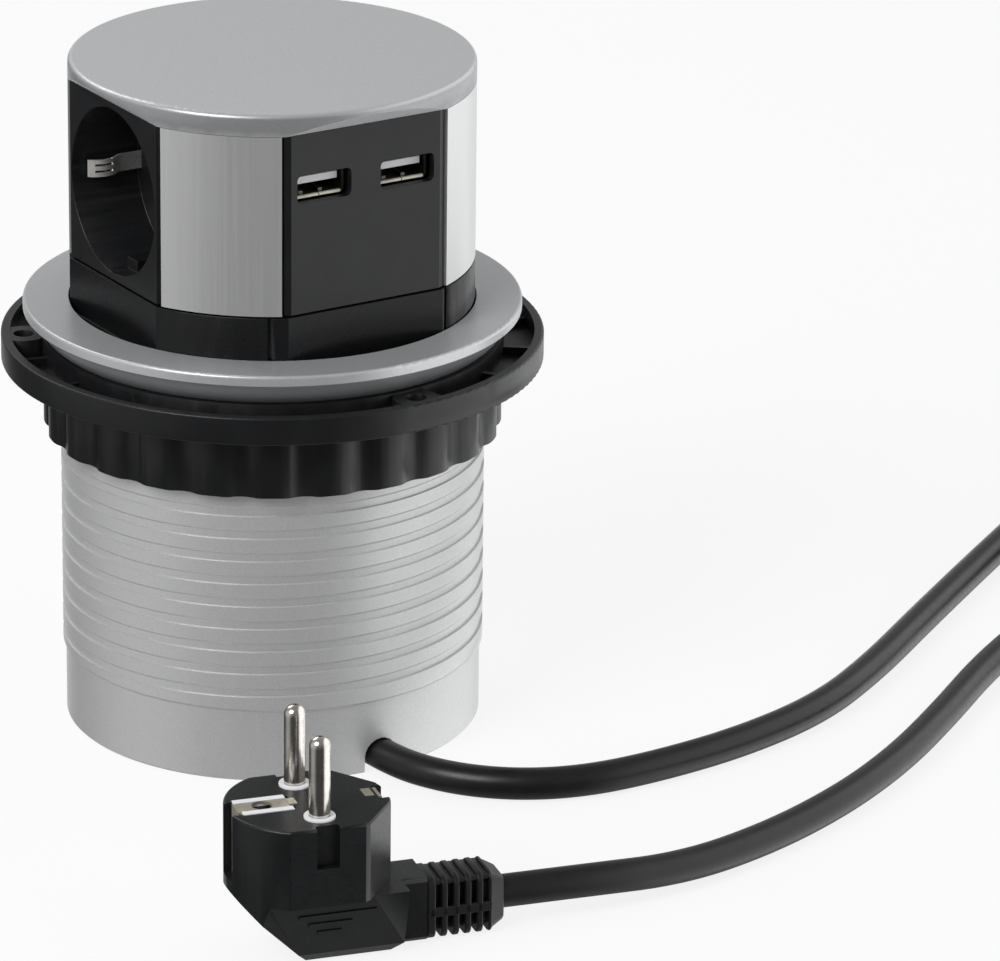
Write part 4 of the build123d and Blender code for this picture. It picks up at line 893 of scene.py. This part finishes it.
def brushed_metal(name, low, high, roughness, stretch):
    """Metal brushed along one axis."""
    material = shader(name, high, metallic=0.7, roughness=roughness)
    lines = noise(material, scale=1.0, detail=4.0, stretch=stretch, rough=0.7)
    feed(material, ramp(material, lines, (0.3, low), (0.7, high)), "Base Color")
    feed(material, ramp(material, lines, (0.25, roughness - 0.06), (0.75, roughness + 0.08)), "Roughness")
    bump(material, lines, strength=0.05, distance=0.00004)
    return material


def moulded_plastic(name, color, roughness, grain=0.25, scale=2600, lift=1.5, gloss=0.36):
    """Moulded plastic with a fine spark grain and slightly uneven sheen."""
    material = shader(name, color, roughness=roughness, specular_ior_level=gloss)
    fine = noise(material, scale)
    clouds = noise(material, scale=140, detail=4.0)
    light = tuple(c * lift for c in color)
    feed(material, ramp(material, clouds, (0.3, color), (0.75, light)), "Base Color")
    feed(material, ramp(material, fine, (0.3, roughness - 0.05), (0.75, roughness + 0.08)), "Roughness")
    bump(material, fine, strength=grain, distance=0.00006)
    return material


def plated_metal(name, low, high, roughness, metallic=1.0):
    """Plated metal with uneven patches of tone and sheen."""
    material = shader(name, high, metallic=metallic, roughness=roughness)
    patches = noise(material, scale=320, detail=4.0)
    feed(material, ramp(material, patches, (0.3, low), (0.7, high)), "Base Color")
    sheen = ramp(material, noise(material, scale=1800), (0.3, roughness - 0.04), (0.7, roughness + 0.08))
    feed(material, sheen, "Roughness")
    bump(material, patches, strength=0.05, distance=0.00004)
    return material


LOOKS = {
    "tube_alloy": lacquered_metal("tube_lacquer", (0.50, 0.505, 0.50), (0.62, 0.625, 0.62), 0.40, grain=0.25),
    "ring_alloy": lacquered_metal("ring_anodised", (0.47, 0.48, 0.49), (0.55, 0.56, 0.57), 0.34, grain=0.10),
    # The cap's colour has painted shade on its upright sides and painted light on its undersides
    "cap_alloy": lacquered_metal("cap_lacquer_painted_shade", (0.52, 0.525, 0.535), (0.62, 0.625, 0.635), 0.34, grain=0.12,
                                 side=0.56, coat=0.05),
    "panel_alloy": brushed_metal("panel_brushed", (0.585, 0.59, 0.585), (0.62, 0.625, 0.62), 0.36,
                                 stretch=(900, 900, 8)),
    "black_plastic": moulded_plastic("black_moulding", (0.006, 0.0063, 0.007), 0.36),
    "black_gloss": moulded_plastic("plug_moulding", (0.0055, 0.006, 0.0065), 0.33, grain=0.3, scale=1500),
    "white_plastic": moulded_plastic("white_insulation", (0.78, 0.78, 0.80), 0.45, grain=0.1, scale=2000,
                                     lift=1.1),
    "contact_metal": plated_metal("nickel_plate", (0.56, 0.53, 0.48), (0.72, 0.69, 0.64), 0.18),
    "brass": plated_metal("brass_sheet", (0.66, 0.50, 0.24), (0.80, 0.64, 0.36), 0.26),
    "steel": plated_metal("zinc_plate", (0.42, 0.42, 0.41), (0.55, 0.55, 0.54), 0.35),
    "earth_plate": plated_metal("earth_plate", (0.40, 0.37, 0.30), (0.52, 0.48, 0.40), 0.38, metallic=0.6),
    "spring_metal": plated_metal("spring_metal", (0.75, 0.73, 0.69), (0.90, 0.88, 0.84), 0.30, metallic=0.7),
    # Dark shell colour: painted shade inside the ports
    "shell_metal": plated_metal("shell_metal", (0.13, 0.125, 0.115), (0.20, 0.19, 0.175), 0.42),
    # Near white folds: a painted highlight on the shells' lips
    "bright_fold": plated_metal("bright_fold", (0.90, 0.86, 0.70), (1.0, 0.97, 0.84), 0.40, metallic=0.15),
    "black_deep": moulded_plastic("carriage_moulding", (0.005, 0.0053, 0.0058), 0.30, grain=0.15, scale=1800,
                                  lift=1.3, gloss=0.22),
    "rubber": moulded_plastic("rubber_ring", (0.008, 0.008, 0.008), 0.7, grain=0.2, scale=1800),
    "cable_black": moulded_plastic("cable_sheath", (0.006, 0.006, 0.0065), 0.34, grain=0.12, scale=900),
    "board": moulded_plastic("board_green", (0.01, 0.07, 0.03), 0.4, grain=0.1, scale=900),
    "transformer_yellow": moulded_plastic("winding_tape", (0.50, 0.36, 0.05), 0.45, grain=0.2, scale=700),
    "capacitor_can": moulded_plastic("capacitor_sleeve", (0.03, 0.04, 0.09), 0.3, grain=0.1, scale=700),
}
OTHER_LOOKS = {"carriage": "black_deep", "plug_earth_contacts": "earth_plate"}   # not their slot's look


def dress(obj, look):
    obj.data.materials.clear()
    obj.data.materials.append(LOOKS[look])


for part in frame["record"]["subparts"]:
    dress(frame["nodes"][part["node"]], OTHER_LOOKS.get(part["node"], part["material_slot"]))
dress(cord, "cable_black")
for piece, piece_look in looks_of_pieces:
    dress(piece, piece_look)

PLUG_NODES = ("plug_body", "plug_pins", "plug_pin_collars", "plug_earth_contacts")
PLUG_PIECES = ("plug_grip_lines", "plug_earth_bars", "plug_earth_tabs", "ribbed_relief")
on_the_cord = [frame["nodes"][name] for name in PLUG_NODES]
on_the_cord += [bpy.data.objects[name] for name in PLUG_PIECES]
